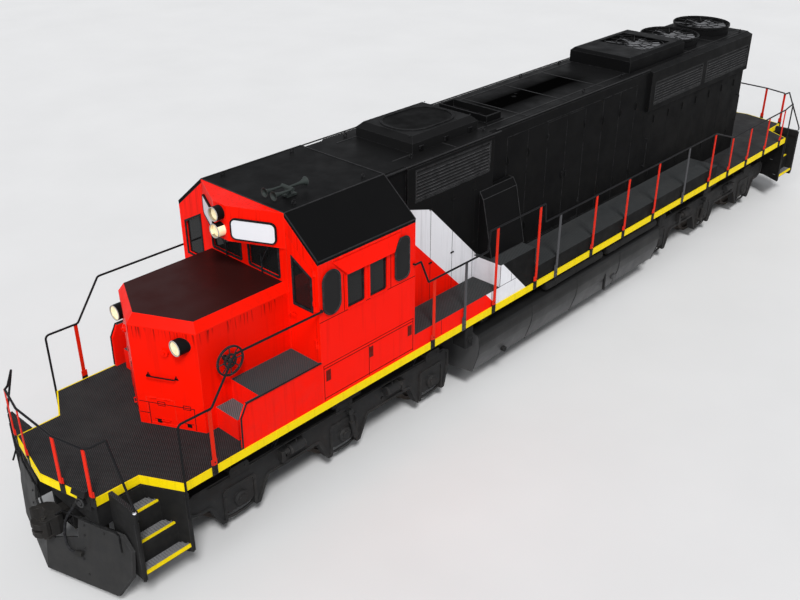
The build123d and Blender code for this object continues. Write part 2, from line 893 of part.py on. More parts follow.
def nose_lamps():
    """Round lamp housings on the two slanted front faces, with their lenses set in."""
    solid_nose = prism_z(nose_plan(0, 0), deck_height, nose_top_height)
    y = nose_lamp_spacing / 2
    face_x = nose_front_x + nose_point * (1 - y / nose_half_width)
    front_x = face_x + nose_lamp_length - 60
    housing = rod((face_x - 120, y, nose_lamp_height), (front_x, y, nose_lamp_height), nose_lamp_radius)
    housing -= solid_nose
    housing -= rod((front_x - 25, y, nose_lamp_height), (front_x + 1, y, nose_lamp_height),
                   nose_lamp_radius - 14)
    lens = rod((front_x - 25, y, nose_lamp_height), (front_x - 8, y, nose_lamp_height),
               nose_lamp_radius - 15)
    return both_sides([housing, lens])


def brake_wheel():
    """Hand brake wheel on the left side of the short hood: two rings on spokes."""
    half = brake_wheel_rim / 2
    pieces = [rod((0, nose_half_width - brake_wheel_y, 0), (0, brake_wheel_rim, 0), brake_wheel_hub_radius)]
    for outer in (brake_wheel_radius, brake_wheel_inner_radius):
        ring = Rot(90, 0, 0) * (Cylinder(outer, brake_wheel_rim)
                                - Cylinder(outer - brake_wheel_rim, brake_wheel_rim + 2))
        pieces.append(ring)
    reach = brake_wheel_radius - half
    for index in range(brake_wheel_spokes):
        angle = 2 * math.pi * index / brake_wheel_spokes
        pieces.append(rod((0, 0, 0), (reach * math.cos(angle), 0, reach * math.sin(angle)),
                          brake_wheel_spoke_radius))
    return Pos(brake_wheel_x, brake_wheel_y, brake_wheel_height) * fuse(pieces)


# Cab

def under_roof(y):
    """Underside of the cab roof at a distance from the centreline."""
    return cab_eave - cab_roof_thickness + roof_slope * (cab_half_width - max(abs(y), cab_crown_half_width))


def door_outline(gap):
    """Door or its opening, (y, z) points in the left half of an end wall."""
    inner = door_inner_y + gap
    outer = door_outer_y - gap
    sill = cab_floor_height + door_sill + gap
    return [(inner, sill), (outer, sill), (outer, under_roof(outer) - door_top_drop - gap),
            (inner, under_roof(inner) - door_top_drop - gap)]


def end_window():
    """Outer end window, its top following the roof."""
    return [(end_window_inner_y, end_window_bottom), (end_window_outer_y, end_window_bottom),
            (end_window_outer_y, end_window_top - end_window_rake),
            (end_window_inner_y, end_window_top + end_window_rake)]


def side_window_spans():
    first = cab_rear_x + side_window_rear_gap
    return [(first, first + side_window_width),
            (first + side_window_width + side_window_pillar,
             first + 2 * side_window_width + side_window_pillar)]


def cab_side_seams():
    """Grooves in the cab sides: the belt line, and the two lower access panels."""
    depth = panel_groove_depth
    width = panel_groove_width
    y0 = cab_half_width - depth
    y1 = cab_half_width + depth
    cuts = [box(cab_rear_x, cab_front_x, y0, y1, cab_belt_height - width, cab_belt_height)]
    rear = cab_rear_x + cab_panel_margin
    front = cab_front_x - cab_panel_margin
    middle = (rear + front) / 2
    for z in (cab_panel_bottom, cab_panel_top):
        cuts.append(box(rear, front, y0, y1, z - width / 2, z + width / 2))
    for x in (rear, middle, front):
        cuts.append(box(x - width / 2, x + width / 2, y0, y1, cab_panel_bottom, cab_panel_top))
    return cuts


def side_window_openings():
    """Left side window openings with rounded corners."""
    middle_z = (side_window_bottom + side_window_top) / 2
    height = side_window_top - side_window_bottom
    openings = []
    for x0, x1 in side_window_spans():
        plane = Plane.XZ.offset(-cab_half_width - cab_wall) * Pos((x0 + x1) / 2, middle_z)
        openings.append(extrude(plane * RectangleRounded(x1 - x0, height, window_corner), 3 * cab_wall))
    return openings


def windshields():
    return [box(cab_front_x - 3 * cab_wall, cab_front_x + cab_wall, side * windshield_inner_y,
                side * windshield_outer_y, windshield_bottom, windshield_top) for side in (-1, 1)]


def cab_walls():
    """Open-topped cab shell with its window and door openings, and the brow over the windshields."""
    profile = [(-cab_half_width, deck_height), (-cab_half_width, under_roof(cab_half_width)),
               (-cab_crown_half_width, under_roof(0)), (cab_crown_half_width, under_roof(0)),
               (cab_half_width, under_roof(cab_half_width)), (cab_half_width, deck_height)]
    inner = cab_half_width - cab_wall
    walls = prism_x(profile, cab_rear_x, cab_front_x)
    walls -= box(cab_rear_x + cab_wall, cab_front_x - cab_wall, -inner, inner, 0, cab_crown + cab_wall)
    for opening in both_sides(side_window_openings()) + windshields():
        walls -= opening
    reach = 3 * cab_wall
    front_door = prism_x(door_outline(0), cab_front_x - reach, cab_front_x + reach)
    rear_door = prism_x(door_outline(0), cab_rear_x - reach, cab_rear_x + reach)
    front_window = prism_x(end_window(), cab_front_x - reach, cab_front_x + reach)
    rear_window = prism_x(end_window(), cab_rear_x - reach, cab_rear_x + reach)
    walls -= front_door
    walls -= mirror(front_window, about=Plane.XZ)
    walls -= mirror(rear_door, about=Plane.XZ)
    walls -= rear_window
    for seam in both_sides(cab_side_seams()):
        walls -= seam
    drip_rear, drip_front = sunshade_span()
    drip_rail = box(drip_rear, drip_front, cab_half_width, cab_half_width + drip_rail_depth, drip_rail_height,
                    drip_rail_height + drip_rail_depth)
    hinges = [hinge_leaf(cab_front_x, 1, 1, False), hinge_leaf(cab_rear_x, -1, -1, False)]
    return [fuse([walls] + both_sides([drip_rail]) + hinges), prism_z(brow_plan(), brow_height, cab_crown)]


def hinge_heights():
    return [cab_floor_height + 300, cab_floor_height + 900, cab_floor_height + 1450]


def hinge_leaf(wall_x, facing, side, on_door):
    """Three hinge barrels on a vertical axis just outside the wall, with leaves to one piece."""
    axis_x = wall_x + facing * hinge_offset
    axis_y = side * (door_outer_y - door_gap / 2)
    leaf_y = axis_y + side * (-45 if on_door else 30)
    pieces = []
    for z in hinge_heights():
        low = z if on_door else z - hinge_barrel - hinge_gap
        barrel = Pos(axis_x, axis_y, low + hinge_barrel / 2) * Cylinder(hinge_radius, hinge_barrel)
        leaf = box(wall_x, wall_x + facing * (hinge_offset - 5), axis_y, leaf_y, low, low + hinge_barrel)
        pieces += [barrel, leaf]
    return fuse(pieces)


def cab_door(wall_x, facing, side):
    """End door, hung on its outboard edge and flush with the wall's outer face."""
    plate = prism_x(door_outline(door_gap), wall_x - facing * door_thickness, wall_x)
    window = prism_x(end_window(), wall_x - 200, wall_x + 200)
    plate -= window
    glass_x = wall_x - facing * (door_thickness / 2)
    glass = prism_x(end_window(), glass_x - glass_thickness / 2, glass_x + glass_thickness / 2)
    handle_y = door_inner_y + 60
    handle = rod((wall_x, handle_y, cab_floor_height + 650),
                 (wall_x + facing * 45, handle_y, cab_floor_height + 650), 14)
    lever = rod((wall_x + facing * 45, handle_y - 10, cab_floor_height + 650),
                (wall_x + facing * 45, handle_y + 120, cab_floor_height + 650), 10)
    shapes = [fuse([plate, handle, lever])]
    if side < 0:
        shapes = [mirror(shape, about=Plane.XZ) for shape in shapes]
        glass = mirror(glass, about=Plane.XZ)
    shapes = [fuse(shapes + [hinge_leaf(wall_x, facing, side, True)])]
    return shapes, [glass]


def cab_roof():
    outer = [(-cab_half_width, cab_eave), (-cab_crown_half_width, cab_crown),
             (cab_crown_half_width, cab_crown), (cab_half_width, cab_eave)]
    inner = [(y, z - cab_roof_thickness) for y, z in reversed(outer)]
    return prism_x(outer + inner, cab_rear_x, cab_front_x)


def cab_glass():
    """Fixed panes in the middle of the walls."""
    middle = cab_half_width - cab_wall / 2
    slab = box(cab_rear_x, cab_front_x, middle - glass_thickness / 2, middle + glass_thickness / 2,
               side_window_bottom, side_window_top)
    panes = both_sides([opening & slab for opening in side_window_openings()])
    front = cab_front_x - cab_wall / 2
    rear = cab_rear_x + cab_wall / 2
    for side in (-1, 1):
        panes.append(box(front - glass_thickness / 2, front + glass_thickness / 2,
                         side * windshield_inner_y, side * windshield_outer_y,
                         windshield_bottom, windshield_top))
    front_pane = prism_x(end_window(), front - glass_thickness / 2, front + glass_thickness / 2)
    panes.append(mirror(front_pane, about=Plane.XZ))
    panes.append(prism_x(end_window(), rear - glass_thickness / 2, rear + glass_thickness / 2))
    return panes


def cab_floor():
    inner = cab_half_width - cab_wall
    return box(cab_rear_x + cab_wall, cab_front_x - cab_wall, -inner, inner,
               cab_floor_height - cab_floor_thickness, cab_floor_height)


def crew_seat(x, y):
    cushion = box(x - 230, x + 230, y - 240, y + 240, cab_floor_height + 430, cab_floor_height + 530)
    back = box(x - 250, x - 150, y - 230, y + 230, cab_floor_height + 530, cab_floor_height + 1080)
    post = Pos(x, y, cab_floor_height + 215) * Cylinder(60, 430)
    return fuse([cushion, back, post])


def control_stand():
    """Upright stand to the left of the engineer's seat, its desk facing the seat."""
    rear = (cab_front_x + cab_rear_x) / 2 + stand_shift
    front = rear + stand_length
    top = cab_floor_height + stand_height
    side = [(rear, cab_floor_height), (front, cab_floor_height), (front, top),
            (rear + stand_slope_length, top), (rear, top - stand_slope_drop)]
    return prism_y(side, -stand_outer_y, -stand_inner_y)


def brow_plan():
    front = cab_front_x + brow_reach
    return [(cab_front_x, -cab_crown_half_width), (front, -brow_flat_half_width),
            (front, brow_flat_half_width), (cab_front_x, cab_crown_half_width)]


def headlights():
    """Stacked lamps on the brow, and a pair side by side on the rear end of the hood."""
    front = cab_front_x + brow_reach
    seats = [(front, 1, 0, height) for height in headlight_heights]
    seats += [(hood_rear_x, -1, side * 1.2 * headlight_radius, headlight_heights[0]) for side in (-1, 1)]
    shapes = []
    for x, facing, y, z in seats:
        lens_x = x + facing * headlight_recess
        end_x = x + facing * headlight_length
        tube = rod((x, y, z), (end_x, y, z), headlight_radius)
        tube -= rod((lens_x, y, z), (end_x + facing, y, z), headlight_radius - headlight_wall)
        lens = rod((lens_x, y, z), (lens_x + facing * headlight_recess, y, z),
                   headlight_radius - headlight_wall - 1)
        shapes += [tube, lens]
    return shapes


def number_boards():
    """Round-cornered boards on the two slanted faces of the brow."""
    run = cab_crown_half_width - brow_flat_half_width
    face_plane = Plane(origin=(cab_front_x + brow_reach, brow_flat_half_width, board_bottom),
                       x_dir=(-brow_reach, run, 0), z_dir=(run, brow_reach, 0))
    stretch = math.hypot(run, brow_reach) / run
    width = (board_outer_y - board_inner_y) * stretch
    start = (board_inner_y - brow_flat_half_width) * stretch
    height = board_top - board_bottom
    outline = Pos(start + width / 2, height / 2) * RectangleRounded(width, height, board_corner)
    return both_sides([extrude(face_plane * outline, board_thickness)])


def sunshade_span():
    """Rear and front end of the shades over the side windows."""
    rear_window, front_window = side_window_spans()
    return rear_window[0] - sunshade_rear_overlap, front_window[1] + sunshade_front_overlap


def sunshade():
    """Left shade: a plate sloping out and down, cut back towards its lower edge, with end gussets."""
    rear, front = sunshade_span()
    low_rear = rear + sunshade_rear_notch
    low_front = front - sunshade_front_notch
    low_y = cab_half_width + sunshade_reach
    low_z = sunshade_top - sunshade_drop
    corners = [Vector(rear, cab_half_width, sunshade_top), Vector(low_rear, low_y, low_z),
               Vector(low_front, low_y, low_z), Vector(front, cab_half_width, sunshade_top)]
    normal = Vector(0, sunshade_drop, sunshade_reach).normalized()
    plate = extrude(make_face(Polyline(*corners, close=True)), sunshade_thickness, dir=normal)
    gusset = [(cab_half_width, sunshade_top), (low_y, low_z), (cab_half_width, low_z)]
    gussets = [prism_x(gusset, x, x + sunshade_thickness) for x in (low_rear, low_front - sunshade_thickness)]
    return fuse([plate] + gussets)


def wind_deflector(x, necked):
    """Upright plate beside the side windows; a necked one is narrow above and wide below."""
    outline = SlotOverall(deflector_length, deflector_width, 90)
    if necked:
        neck_shift = (deflector_width - deflector_neck_width) / 2
        neck = Pos(-neck_shift, 0) * SlotOverall(deflector_length, deflector_neck_width, 90)
        foot = Pos(0, (deflector_foot_length - deflector_length) / 2) * SlotOverall(
            deflector_foot_length, deflector_width, 90)
        outline = neck + foot
    middle_y = cab_half_width + deflector_thickness
    plane = Plane.XZ.offset(-middle_y) * Pos(x, deflector_height)
    plate = extrude(plane * outline, deflector_thickness / 2, both=True)
    arms = [box(x - 15, x + 15, cab_half_width, middle_y - deflector_thickness / 2, z - 15, z + 15)
            for z in (deflector_height - 200, deflector_height + 60)]
    return fuse([plate] + arms)


def horn():
    """Air horn with two bells forward and one back, on a manifold over its foot."""
    x = cab_front_x - horn_setback
    z = cab_crown + horn_height
    mouth = horn_bell_length
    outer = Spline((horn_throat_radius, 0), (horn_throat_radius + horn_wall, 0.6 * mouth),
                   (horn_mouth_radius, mouth), tangents=[(0, 1), (1, 0.9)])
    inner = Spline((horn_mouth_radius - horn_wall, mouth), (horn_throat_radius, 0.6 * mouth),
                   (horn_wall, 0.3 * mouth), tangents=[(-1, -0.9), (0, -1)])
    sides = [Line((0, 0), outer @ 0), outer, Line(outer @ 1, inner @ 0), inner,
             Line(inner @ 1, (0, 0.3 * mouth)), Line((0, 0.3 * mouth), (0, 0))]
    bell = revolve(make_face(sides), Axis.Y)
    post = horn_manifold_radius
    reach = horn_spacing + horn_manifold_overhang
    pieces = [box(x - 4 * post, x + 2 * post, horn_offset - 2 * post, horn_offset + 2 * post, cab_crown,
                  cab_crown + horn_foot_thickness),
              box(x - post, x + post, horn_offset - post, horn_offset + post, cab_crown, z),
              rod((x, horn_offset - reach, z), (x, horn_offset + reach, z), post)]
    for shift, turn in ((-horn_spacing, -90), (horn_spacing, -90), (0, 90)):
        pieces.append(Pos(x, horn_offset + shift, z) * Rot(0, 0, turn) * bell)
    return fuse(pieces)


# Long hood

def hood_profile(half_width, inset=0):
    side = half_width - inset
    top = hood_top - inset
    return [(-side, deck_height), (-side, top - hood_shoulder), (-side + hood_shoulder, top),
            (side - hood_shoulder, top), (side, top - hood_shoulder), (side, deck_height)]


def hood_shell(half_width, front_x, rear_x):
    return prism_x(hood_profile(half_width), rear_x, front_x) - prism_x(
        hood_profile(half_width, hood_wall), rear_x - 1, front_x + 1)


def intake_span():
    rear = intake_rear_x + intake_grille_margin
    return rear, rear + intake_grille_length


def hood_intake():
    neck = hood_shell(neck_half_width, cab_rear_x, neck_rear_x)
    intake = hood_shell(intake_half_width, neck_rear_x, intake_rear_x)
    lips = [prism_x(hood_profile(intake_half_width), x, x + hood_wall)
            - prism_x(hood_profile(engine_half_width, hood_wall), x - 1, x + hood_wall + 1)
            for x in (intake_rear_x, neck_rear_x - hood_wall)]
    shell = fuse([neck, intake] + lips)
    rear, front = intake_span()
    return shell - box(rear, front, -cab_half_width, cab_half_width, intake_grille_bottom, intake_grille_top)


def radiator_spans():
    front = radiator_front_x - radiator_pillar
    middle = (front + hood_rear_x + 50) / 2
    return [(middle + radiator_pillar / 2, front), (hood_rear_x + 50 + 20, middle - radiator_pillar / 2)]


def hood_door_spans():
    first = intake_rear_x - hood_door_start
    return [(first - hood_door_width, first), (first - 2 * hood_door_width, first - hood_door_width)]


def hood_door_seams(rear_x, front_x, half_width):
    """Seams between the access doors along the left side of a hood section."""
    first = hood_door_spans()[0][1]
    low = math.ceil((rear_x + 2 * hood_wall - first) / hood_door_width)
    high = math.floor((front_x - 2 * hood_wall - first) / hood_door_width)
    cuts = []
    for index in range(low, high + 1):
        x = first + index * hood_door_width
        cuts.append(box(x - hood_seam_width / 2, x + hood_seam_width / 2, half_width - hood_seam_depth,
                        half_width + hood_seam_depth, hood_seam_bottom, hood_seam_top))
    start = first + low * hood_door_width
    end = first + high * hood_door_width
    for z in (hood_seam_bottom, hood_seam_top):
        cuts.append(box(start, end, half_width - hood_seam_depth, half_width + hood_seam_depth,
                        z - hood_seam_width / 2, z + hood_seam_width / 2))
    return cuts


def hood_engine():
    """Hood over the engine, open inside, with two door openings a side and the stack's opening."""
    shell = hood_shell(engine_half_width, intake_rear_x, radiator_front_x)
    front = hood_door_spans()[0][1]
    rear = hood_door_spans()[1][0]
    for seam in both_sides(hood_door_seams(radiator_front_x, intake_rear_x, engine_half_width)):
        shell -= seam
    shell -= box(rear, front, -cab_half_width, cab_half_width, hood_door_bottom, hood_door_top)
    shell = fuse([shell] + both_sides(hood_hinges(0, False) + hood_hinges(1, False)))
    stack_front = intake_rear_x - stack_start
    return shell - box(stack_front - stack_length + stack_wall, stack_front - stack_wall,
                       -stack_half_width + stack_wall, stack_half_width - stack_wall,
                       hood_top - 2 * hood_wall, hood_top + hood_wall)


def hood_hinges(index, on_door):
    """Two hinge barrels of a left hood door; index 0 hangs on its front edge and 1 on its rear edge."""
    rear, front = hood_door_spans()[index]
    inward = -1 if index == 0 else 1
    axis_x = (front if index == 0 else rear) + inward * door_gap
    axis_y = engine_half_width + hood_hinge_radius
    leaf_x = axis_x + inward * (hood_leaf_width if on_door else -hood_leaf_width)
    pieces = []
    for z in (hood_door_bottom + hood_hinge_inset, hood_door_top - hood_hinge_inset):
        low = z if on_door else z - hinge_barrel - hinge_gap
        pieces.append(Pos(axis_x, axis_y, low + hinge_barrel / 2) * Cylinder(hood_hinge_radius, hinge_barrel))
        pieces.append(box(axis_x, leaf_x, engine_half_width, axis_y, low, low + hinge_barrel))
    return pieces


def hood_door(index, side):
    """Tall engine room door, hung on the edge away from its pair."""
    rear, front = hood_door_spans()[index]
    outer = engine_half_width
    meeting_gap = door_gap * 2 / 3
    x0 = rear + (meeting_gap if index == 0 else door_gap)
    x1 = front - (door_gap if index == 0 else meeting_gap)
    plate = box(x0, x1, outer - door_thickness, outer, hood_door_bottom + door_gap, hood_door_top - door_gap)
    meeting_x = rear if index == 0 else front
    inward = 1 if index == 0 else -1
    latch_x = meeting_x + inward * hood_latch_inset
    latch = box(latch_x, latch_x + inward * hood_latch_width, outer, outer + hood_latch_thickness,
                hood_latch_bottom, hood_latch_top)
    door = fuse([plate, latch] + hood_hinges(index, True))
    return door if side > 0 else mirror(door, about=Plane.XZ)


def hood_radiator():
    shell = hood_shell(engine_half_width, radiator_front_x, hood_rear_x)
    band = prism_x([(engine_half_width - hood_wall, radiator_band_bottom - radiator_band_foot),
                    (radiator_band_half_width, radiator_band_bottom),
                    (radiator_band_half_width, radiator_band_top),
                    (engine_half_width - hood_wall, radiator_band_top + radiator_band_head)],
                   hood_rear_x, radiator_front_x)
    shell = fuse([shell] + both_sides([band]))
    inside = engine_half_width - hood_wall
    shell -= box(hood_rear_x + hood_wall, radiator_front_x + 1, -inside, inside, deck_height,
                 hood_top - hood_wall)
    end = prism_x(hood_profile(engine_half_width), hood_rear_x, hood_rear_x + hood_wall)
    shell = fuse([shell, end])
    for rear, front in radiator_spans():
        shell -= box(rear, front, -cab_half_width, cab_half_width, radiator_grille_bottom,
                     radiator_grille_top)
    for x, top in fan_places():
        shell -= Pos(x, 0, hood_top) * Cylinder(fan_radius + fan_tip_gap, 4 * hood_wall)
    return shell


def louvre_panel(x0, x1, z0, z1, face_y):
    """Frame with slanted louvres and a back plate, filling an opening in the left hood side."""
    frame = box(x0, x1, face_y - 40, face_y - 5, z0, z1)
    frame -= box(x0 + grille_frame, x1 - grille_frame, face_y - 41, face_y, z0 + grille_frame, z1 - grille_frame)
    back = box(x0, x1, face_y - hood_wall, face_y - 40, z0, z1)
    pieces = [frame, back]
    count = int((z1 - z0 - 2 * grille_frame) / louvre_pitch)
    for index in range(count):
        z = z0 + grille_frame + (index + 0.5) * louvre_pitch
        pieces.append(prism_x([(face_y - 40, z + 18), (face_y - 8, z - 14), (face_y - 8, z - 14 + louvre_thickness),
                               (face_y - 40, z + 18 + louvre_thickness)], x0 + grille_frame, x1 - grille_frame))
    return fuse(pieces)


def hood_grilles():
    rear, front = intake_span()
    panels = [louvre_panel(rear, front, intake_grille_bottom, intake_grille_top, intake_half_width)]
    for rear, front in radiator_spans():
        panels.append(louvre_panel(rear, front, radiator_grille_bottom, radiator_grille_top,
                                   radiator_band_half_width))
    return both_sides(panels)


def filter_hatch():
    front = cab_rear_x - filter_hatch_start
    rear = front - filter_hatch_length
    block = box(front, rear, -filter_hatch_half_width, filter_hatch_half_width, hood_top,
                hood_top + filter_hatch_rise)
    return chamfer(block.faces().sort_by(Axis.Z)[-1].edges(), filter_hatch_chamfer)


def exhaust_stack():
    front = intake_rear_x - stack_start
    rear = front - stack_length
    tube = box(rear, front, -stack_half_width, stack_half_width, hood_top, hood_top + stack_rise)
    return tube - box(rear + stack_wall, front - stack_wall, -stack_half_width + stack_wall,
                      stack_half_width - stack_wall, hood_top - 1, hood_top + stack_rise + 1)


def fan_box():
    """Raised hatch over the first fan, its top plate cut square over the fan's round well."""
    front = radiator_front_x + fan_box_start
    rear = front - fan_box_length
    middle_z = hood_top + fan_box_rise / 2
    block = Pos((front + rear) / 2, 0, middle_z) * Box(fan_box_length, 2 * fan_box_half_width, fan_box_rise)
    block = chamfer(block.faces().sort_by(Axis.Z)[-1].edges(), fan_box_chamfer)
    fan_x = radiator_front_x - fan_1_station
    well_height = fan_box_rise - fan_box_plate
    block -= Pos(fan_x, 0, hood_top + well_height / 2 - 1) * Cylinder(fan_radius + fan_tip_gap, well_height + 2)
    return block - box(fan_x - fan_opening_length / 2, fan_x + fan_opening_length / 2, -fan_opening_width / 2,
                       fan_opening_width / 2, hood_top, hood_top + fan_box_rise + 1)


def fan_places():
    """Centre and top of each cooling fan's well."""
    return [(radiator_front_x - fan_1_station, hood_top + fan_box_rise),
            (radiator_front_x - fan_2_station, hood_top + fan_shroud_rise),
            (radiator_front_x - fan_3_station, hood_top + fan_shroud_rise)]


def fan_shroud(x, top):
    """Round shroud on the roof, with an overhanging cap ring."""
    inner = fan_radius + fan_tip_gap
    outer = inner + fan_shroud_wall
    profile = [(inner, hood_top), (outer - fan_cap_overhang / 2, hood_top),
               (outer - fan_cap_overhang / 2, top - fan_cap_height),
               (outer, top - fan_cap_height + fan_cap_lip),
               (outer, top - fan_cap_edge), (outer - fan_cap_edge, top), (inner, top)]
    return Pos(x, 0, 0) * revolve(Plane.XZ * make_face(Polyline(*profile, close=True)), Axis.Z)


def fan_guard(x, top):
    """Wire guard over a fan: two rings on thin spokes, reaching the well's wall."""
    reach = fan_radius + fan_tip_gap
    guard_z = top - fan_box_plate - guard_bar / 2
    pieces = []
    for outer in (reach, reach * 0.62, reach * 0.3):
        ring = Cylinder(outer, guard_bar) - Cylinder(outer - guard_bar, guard_bar + 2)
        pieces.append(Pos(x, 0, guard_z) * ring)
    for index in range(guard_spoke_count):
        spoke = box(reach * 0.3 - guard_bar, reach - guard_bar / 2, -guard_bar / 2, guard_bar / 2,
                    -guard_bar / 2, guard_bar / 2)
        pieces.append(Pos(x, 0, guard_z) * Rot(0, 0, 360 / guard_spoke_count * index) * spoke)
    return fuse(pieces)


def fan_floor(top):
    """Height of the lower face of a fan's hub."""
    return top - fan_top_clearance - fan_hub_height


def fan_motor(x, top):
    """Motor under the hub, carried on a cross of struts that reach into the well's wall."""
    motor_top = fan_floor(top) - running_gap
    motor_bottom_z = motor_top - fan_motor_height
    body = Pos(x, 0, motor_top - fan_motor_height / 2) * Cylinder(fan_motor_radius, fan_motor_height)
    strut_z = hood_top - hood_wall - fan_strut_height / 2
    reach = fan_radius + fan_tip_gap + fan_shroud_wall
    struts = [Pos(x, 0, strut_z) * Rot(0, 0, angle) * Box(2 * reach, fan_strut_width, fan_strut_height)
              for angle in (0, 90)]
    low = min(strut_z, motor_bottom_z)
    stem = rod((x, 0, low), (x, 0, motor_bottom_z + fan_motor_height / 2), fan_stem_radius)
    return fuse([body, stem] + struts)


def fan_blade():
    """One blade along +X, broad and flat at the tip, narrow and steep at the root."""
    root_x = fan_hub_radius - fan_blade_root
    across = Plane(origin=(0, 0, 0), x_dir=(0, 1, 0), z_dir=(1, 0, 0))
    root = across.offset(root_x) * Rot(0, 0, fan_root_pitch)
    tip = across.offset(fan_radius + fan_blade_reach) * Rot(0, 0, fan_tip_pitch)
    root *= Rectangle(fan_root_chord, fan_blade_thickness)
    tip *= Rectangle(fan_tip_chord, fan_blade_thickness)
    return loft([root, tip]) & Cylinder(fan_radius, 4 * fan_hub_height)


def fan_rotor(x, top):
    """Hub with twisted blades."""
    hub_z = fan_floor(top) + fan_hub_height / 2
    hub = chamfer(Cylinder(fan_hub_radius, fan_hub_height).edges().sort_by(Axis.Z)[-1], fan_hub_chamfer)
    blade = fan_blade()
    blades = [Rot(0, 0, 360 / fan_blade_count * index) * blade for index in range(fan_blade_count)]
    return Pos(x, 0, hub_z) * fuse([hub] + blades)


def engine_block():
    front = intake_rear_x - engine_front_gap
    return box(front - engine_length, front, -engine_block_half_width, engine_block_half_width,
               deck_height, engine_top)


# Trucks

def wheelset():
    """Axle with its two flanged wheels, turned as one piece about Y."""
    back = wheel_back_to_back / 2
    flange = wheel_radius + flange_height
    rim_inner = wheel_radius - wheel_rim
    half = [
        (0, 0), (axle_radius, 0), (axle_radius, back - 20), (axle_radius + 30, back),
        (axle_radius + 30, back + 40), (rim_inner, back + 40), (rim_inner, back), (flange, back),
        (flange, back + 20), (wheel_radius, back + 35), (wheel_radius, back + wheel_width),
        (rim_inner, back + wheel_width), (rim_inner, back + 40 + wheel_plate),
        (axle_radius + 40, back + 40 + wheel_plate), (axle_radius + 40, back + wheel_width + 20),
        (journal_radius, back + wheel_width + 20), (journal_radius, journal_end_y), (0, journal_end_y),
    ]
    face = make_face(Polyline(*half, close=True))
    turned = revolve(face, Axis.Y)
    return turned.fuse(mirror(turned, about=Plane.XZ))


def side_frame_outline():
    """Side frame in (x, z), with a pair of pedestal legs astride each axle."""
    points = [(-side_frame_inboard, frame_shoulder), (-side_frame_inboard, side_frame_bottom)]
    gap_top = side_frame_bottom + pedestal_depth
    for x in (-axle_spacing, 0, axle_spacing):
        if x > -axle_spacing:
            points.append((x - pedestal_root_half_width, side_frame_bottom))
        points += [(x - pedestal_tip_half_width, pedestal_tip), (x - pedestal_half_gap, pedestal_tip),
                   (x - pedestal_half_gap, gap_top), (x + pedestal_half_gap, gap_top),
                   (x + pedestal_half_gap, pedestal_tip), (x + pedestal_tip_half_width, pedestal_tip),
                   (x + pedestal_root_half_width, side_frame_bottom)]
    points += [(side_frame_outboard - frame_toe_length, side_frame_bottom),
               (side_frame_outboard, frame_toe_height), (side_frame_outboard, frame_shoulder),
               (side_frame_outboard - frame_shoulder_length, side_frame_top),
               (-side_frame_inboard + frame_shoulder_length, side_frame_top)]
    return points


def side_frame():
    """Left side frame casting in the truck's own frame, +X to the deck's end, with a raised rim,
    three lightening holes between the axles and a lower inner flange."""
    face = rounded(side_frame_outline(), frame_corner)
    thickness = side_frame_outer_y - side_frame_inner_y
    casting = extrude(Plane.XZ.offset(-side_frame_inner_y) * face, -thickness)
    inside = offset(face, -frame_rim)
    casting -= extrude(Plane.XZ.offset(-side_frame_outer_y) * inside, frame_recess)
    for middle in (-axle_spacing / 2, axle_spacing / 2):
        for step in (-1, 0, 1):
            x = middle + step * frame_hole_pitch
            casting -= rod((x, side_frame_inner_y - 1, frame_hole_height),
                           (x, side_frame_outer_y + 1, frame_hole_height), frame_hole_radius)
    flanges = []
    for middle in (-axle_spacing / 2, axle_spacing / 2):
        half = axle_spacing / 2 - pedestal_root_half_width
        flanges.append(box(middle - half, middle + half, side_frame_inner_y,
                           side_frame_inner_y + frame_flange_width,
                           side_frame_bottom - frame_flange_depth, side_frame_bottom + frame_rim))
    return fuse([casting] + flanges)


def truck_frame():
    """Two side frames joined by transoms, a centre beam with the bowl, and a beam at the outboard end."""
    pieces = both_sides([side_frame()])
    for x in (transom_inset - transom_offset, transom_offset - transom_inset):
        pieces.append(box(x - transom_half_length, x + transom_half_length, -side_frame_inner_y,
                          side_frame_inner_y, transom_bottom, side_frame_top - centre_beam_drop))
    beam_bottom = side_frame_top - centre_beam_depth
    pieces.append(box(-transom_offset, transom_offset, -centre_beam_half_width, centre_beam_half_width,
                      beam_bottom, side_frame_top - centre_beam_drop))
    half = centre_plate_radius + centre_beam_drop
    bowl_top = centre_plate_height - running_gap
    pieces.append(box(-half, half, -centre_beam_half_width, centre_beam_half_width, beam_bottom, bowl_top))
    beam_front = side_frame_outboard - end_beam_inset
    pieces.append(box(beam_front - end_beam_length, beam_front, -side_frame_inner_y, side_frame_inner_y,
                      end_beam_bottom, end_beam_bottom + end_beam_length))
    return fuse(pieces)


def journal_box(x):
    """Journal box between the pedestal legs, bored for the axle end, with a round cap."""
    bore = journal_radius + running_gap
    top = side_frame_bottom + pedestal_depth - running_gap
    body = box(x - journal_box_half_width, x + journal_box_half_width, side_frame_inner_y - 60,
               side_frame_outer_y - 10, wheel_radius - journal_box_half_height, top)
    body = chamfer(body.edges().filter_by(Axis.Y).group_by(Axis.Z)[0], 50)
    body = chamfer(body.edges().filter_by(Axis.Y).group_by(Axis.Z)[-1], frame_corner)
    cap_y = side_frame_outer_y + journal_cap_reach
    cap = rod((x, side_frame_outer_y - 60, wheel_radius), (x, cap_y, wheel_radius), journal_cap_radius)
    cap = chamfer(cap.edges().sort_by(Axis.Y)[-1], 18)
    hub = rod((x, cap_y, wheel_radius), (x, cap_y + 14, wheel_radius), journal_cap_radius / 2)
    body = fuse([body, cap, hub])
    return body - rod((x, side_frame_inner_y - 100, wheel_radius), (x, journal_end_y + 10, wheel_radius), bore)


